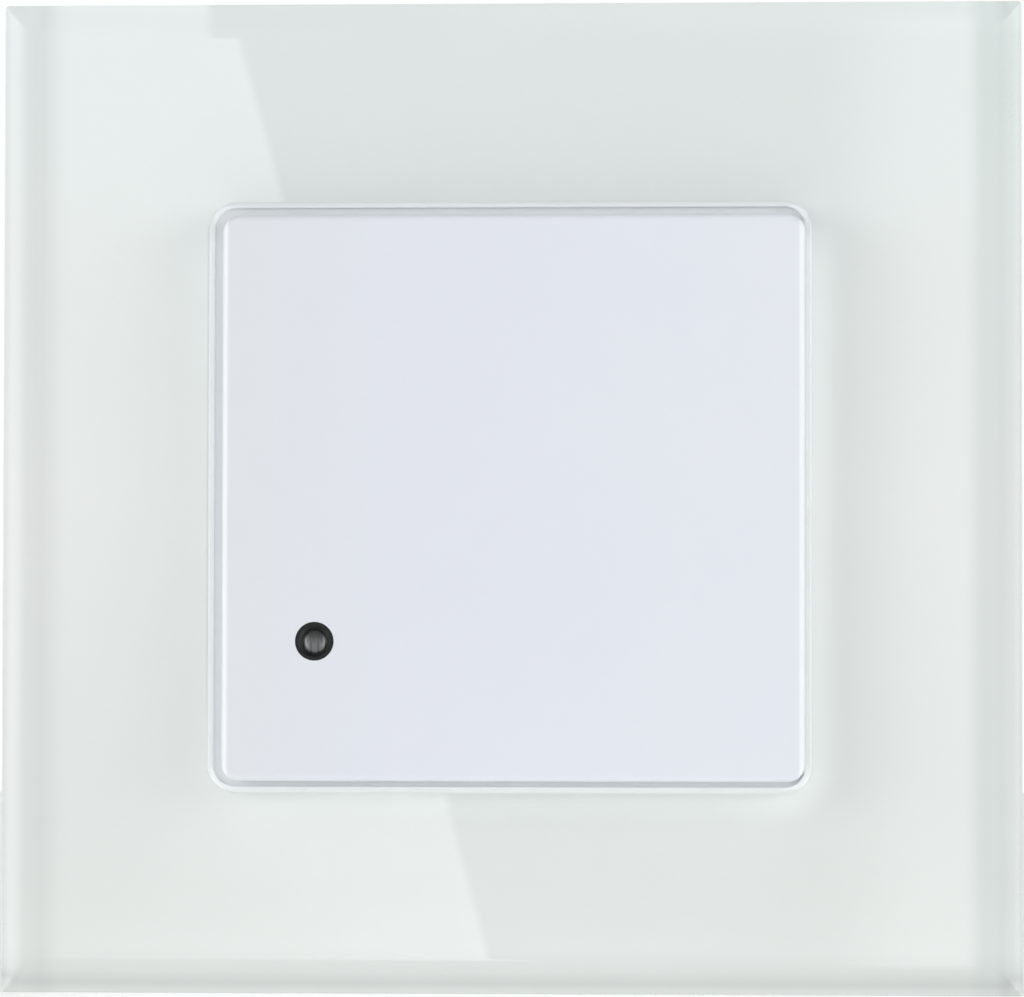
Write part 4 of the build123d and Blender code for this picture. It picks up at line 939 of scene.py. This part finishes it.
class MOTION_SENSOR_OT_power_board(SensorOperator, bpy.types.Operator):
    """Relay, capacitors and the other parts of the power board"""

    bl_idname = "motion_sensor.power_board"
    bl_label = "Power board"

    def execute(self, context):
        dress(moulded("relay_shell", RELAY_PLASTIC, 0.25), "relay_case")
        dress(wound_copper(), "relay_coil")
        dress(plain_metal("relay_iron", RELAY_IRON, 0.35), "relay_yoke", "relay_armature")
        dress(plain_metal("relay_brass", RELAY_BRASS, 0.3), "relay_contact")
        dress(sleeved_can(), "smoothing_capacitor")
        dress(moulded("film_box", FILM_YELLOW, 0.3), "film_capacitor")
        dress(moulded("varistor_coat", VARISTOR_BLUE, 0.35, 0.8 * MM, 0.5), "varistor")
        dress(plain_metal("fuse_caps", FUSE_NICKEL, 0.25), "fuse")
        dress(moulded("ferrite_core", FERRITE, 0.6, 0.2 * MM, 0.4), "inductor")
        dress(moulded("bridge_moulding", BRIDGE_PLASTIC, 0.5), "bridge_rectifier", "regulator")
        return {"FINISHED"}


# Studio

FLOOR_RADIUS = 3.0
FLOOR_GAP = 0.05 * MM
FLOOR_STEPS = 96

# The light card fills the directions on the left of one slanting line, as seen from the glass
CARD_SLANT = 0.27
CARD_EDGE = -0.0712
CARD_SOFTNESS = 0.0007
CARD_TOP = 0.13


def clear_default_scene():
    for name in ("Cube", "Light", "Camera"):
        if name in bpy.data.objects:
            bpy.data.objects.remove(bpy.data.objects[name])


def looking(place_of_eye, aim, roll):
    """A transform at the first point that looks at the second, turned about its line of sight."""
    turn = (Vector(aim) - Vector(place_of_eye)).to_track_quat("-Z", "Y").to_matrix().to_4x4()
    return Matrix.Translation(place_of_eye) @ turn @ Matrix.Rotation(roll, 4, "Z")


def make_camera():
    """A long lens that frames the object as the photograph does."""
    studio = settings("studio")
    lens = bpy.data.cameras.new("camera")
    lens.lens = studio.lens
    lens.sensor_width = 36.0
    lens.clip_start = 0.01
    lens.clip_end = 20.0
    camera = bpy.data.objects.new("camera", lens)
    camera.matrix_world = looking(studio.camera_place, studio.camera_aim, studio.camera_roll)
    bpy.context.scene.collection.objects.link(camera)
    bpy.context.scene.camera = camera


def make_floor():
    """A round plain floor just under the object: points by the cosine and sine of a full turn."""
    turn = np.linspace(0.0, 2 * math.pi, FLOOR_STEPS, endpoint=False)
    height = np.full(turn.shape, CAD_LOW.z - FLOOR_GAP)
    points = np.stack([FLOOR_RADIUS * np.cos(turn), FLOOR_RADIUS * np.sin(turn), height], axis=-1)
    mesh = bpy.data.meshes.new("floor")
    mesh.from_pydata(points.tolist(), [], [list(range(FLOOR_STEPS))])
    floor = bpy.data.objects.new("floor", mesh)
    bpy.context.scene.collection.objects.link(floor)
    paper = new_finish("floor_paper", PAPER, 0.7)
    surface(paper).inputs["Emission Color"].default_value = (1.0, 1.0, 1.0, 1.0)
    surface(paper).inputs["Emission Strength"].default_value = settings("studio").floor_glow
    mottle(paper, PAPER, 20 * MM, 0.004)
    mesh.materials.append(paper)
    floor.visible_glossy = False


def light_card(world, x, y, z):
    """One inside the soft light card and nought outside it.

    Its right edge is a sharp slanting line, which goes straight up above the glass. Its left and bottom
    edges are soft. It dims towards its left, and more so downwards.
    """
    level = sums(world, "MINIMUM", z, CARD_TOP)
    across = sums(world, "MULTIPLY_ADD", level, CARD_SLANT, x)
    right = remap(world, across, CARD_EDGE - CARD_SOFTNESS, CARD_EDGE + CARD_SOFTNESS, 1.0, 0.0)
    left = remap(world, x, -0.136, -0.127, 0.0, 1.0, smooth=True)
    low = remap(world, z, -0.08, -0.035, 0.0, 1.0, smooth=True)
    lowest = remap(world, x, -0.12, -0.065, 0.28, 0.85)
    climb = remap(world, z, -0.03, 0.10, 0.0, 1.0)
    highest = remap(world, x, -0.125, -0.08, 0.87, 1.0)
    fade = sums(world, "MULTIPLY_ADD", climb, sums(world, "SUBTRACT", highest, lowest), lowest)
    ahead = sums(world, "LESS_THAN", y, 0.0)
    return product(world, right, left, low, fade, ahead)


def pale_curtain(world, x, y, z):
    """A soft upright band that the right side of the glass mirrors."""
    rise = remap(world, x, -0.012, 0.009, 0.0, 1.0, smooth=True)
    fall = remap(world, x, 0.0128, 0.0168, 1.0, 0.0, smooth=True)
    low = remap(world, z, -0.4, -0.1, 0.0, 1.0, smooth=True)
    high = remap(world, z, 0.4, 0.95, 1.0, 0.3, smooth=True)
    ahead = sums(world, "LESS_THAN", y, 0.0)
    return product(world, rise, fall, low, high, ahead)


def side_lights(world, x, y):
    """Two broad soft lights in front of the object, one on each side."""
    out = sums(world, "ABSOLUTE", x)
    rise = remap(world, out, 0.45, 0.86, 0.0, 1.0, smooth=True)
    fall = remap(world, out, 0.93, 1.0, 1.0, 0.28, smooth=True)
    before = remap(world, y, -0.1, 0.12, 1.0, 0.0, smooth=True)
    return product(world, rise, fall, before)


def make_room_light():
    """Light by direction: even in front, strong from both sides in front, weak from above and behind.

    The camera itself sees plain white.
    """
    studio = settings("studio")
    world = bpy.data.worlds.new("room")
    world.use_nodes = True
    bpy.context.scene.world = world
    x, y, z = split(world, add(world, "TexCoord").outputs["Generated"])
    even = remap(world, z, -0.06, 0.16, 1.2, 0.85)
    flanks = sums(world, "MULTIPLY_ADD", side_lights(world, x, y), studio.side_glow, even)
    overhead = remap(world, z, 0.14, 0.75, 1.0, 0.3, smooth=True)
    behind = remap(world, y, 0.0, 0.5, 1.0, 0.7, smooth=True)
    glow = product(world, flanks, overhead, behind)
    with_card = sums(world, "MULTIPLY_ADD", light_card(world, x, y, z), studio.card_glow, glow)
    lit = sums(world, "MULTIPLY_ADD", pale_curtain(world, x, y, z), studio.curtain_glow, with_card)
    strength = sums(world, "MULTIPLY", lit, studio.room_glow)
    seen = add(world, "LightPath").outputs["Is Camera Ray"]
    background = world.node_tree.nodes["Background"]
    background.inputs["Color"].default_value = (0.99, 1.0, 1.0, 1.0)
    missing = sums(world, "SUBTRACT", 1.0, strength)
    shown = sums(world, "MULTIPLY_ADD", seen, missing, strength)
    world.node_tree.links.new(shown, background.inputs["Strength"])


# Panel and registration

STEPS = (
    MOTION_SENSOR_OT_studio,
    MOTION_SENSOR_OT_glass_frame,
    MOTION_SENSOR_OT_centre_plate,
    MOTION_SENSOR_OT_ring_and_claws,
    MOTION_SENSOR_OT_housing,
    MOTION_SENSOR_OT_radar_board,
    MOTION_SENSOR_OT_power_board,
)


class MOTION_SENSOR_PT_panel(bpy.types.Panel):
    bl_label = "Motion sensor"
    bl_space_type = "VIEW_3D"
    bl_region_type = "UI"
    bl_category = "Motion sensor"

    def draw(self, context):
        for step in STEPS:
            self.layout.operator(step.bl_idname)
        for group in GROUPS:
            kept = settings(group)
            for name in kept.bl_rna.properties.keys():
                if name not in ("rna_type", "name"):
                    self.layout.prop(kept, name)


GROUPS = {"sizes": SensorSizes, "colours": SensorColours, "studio": SensorStudio}
CLASSES = (*GROUPS.values(), *STEPS, MOTION_SENSOR_PT_panel)


def register():
    for cls in CLASSES:
        bpy.utils.register_class(cls)
    for name, group in GROUPS.items():
        setattr(bpy.types.Scene, "motion_sensor_" + name, PointerProperty(type=group))


def unregister():
    for name in GROUPS:
        delattr(bpy.types.Scene, "motion_sensor_" + name)
    for cls in reversed(CLASSES):
        bpy.utils.unregister_class(cls)


def main():
    """Registers the add-on and runs every step in order."""
    register()
    for step in STEPS:
        getattr(bpy.ops.motion_sensor, step.bl_idname.split(".")[1])()


if __name__ == "__main__":
    main()
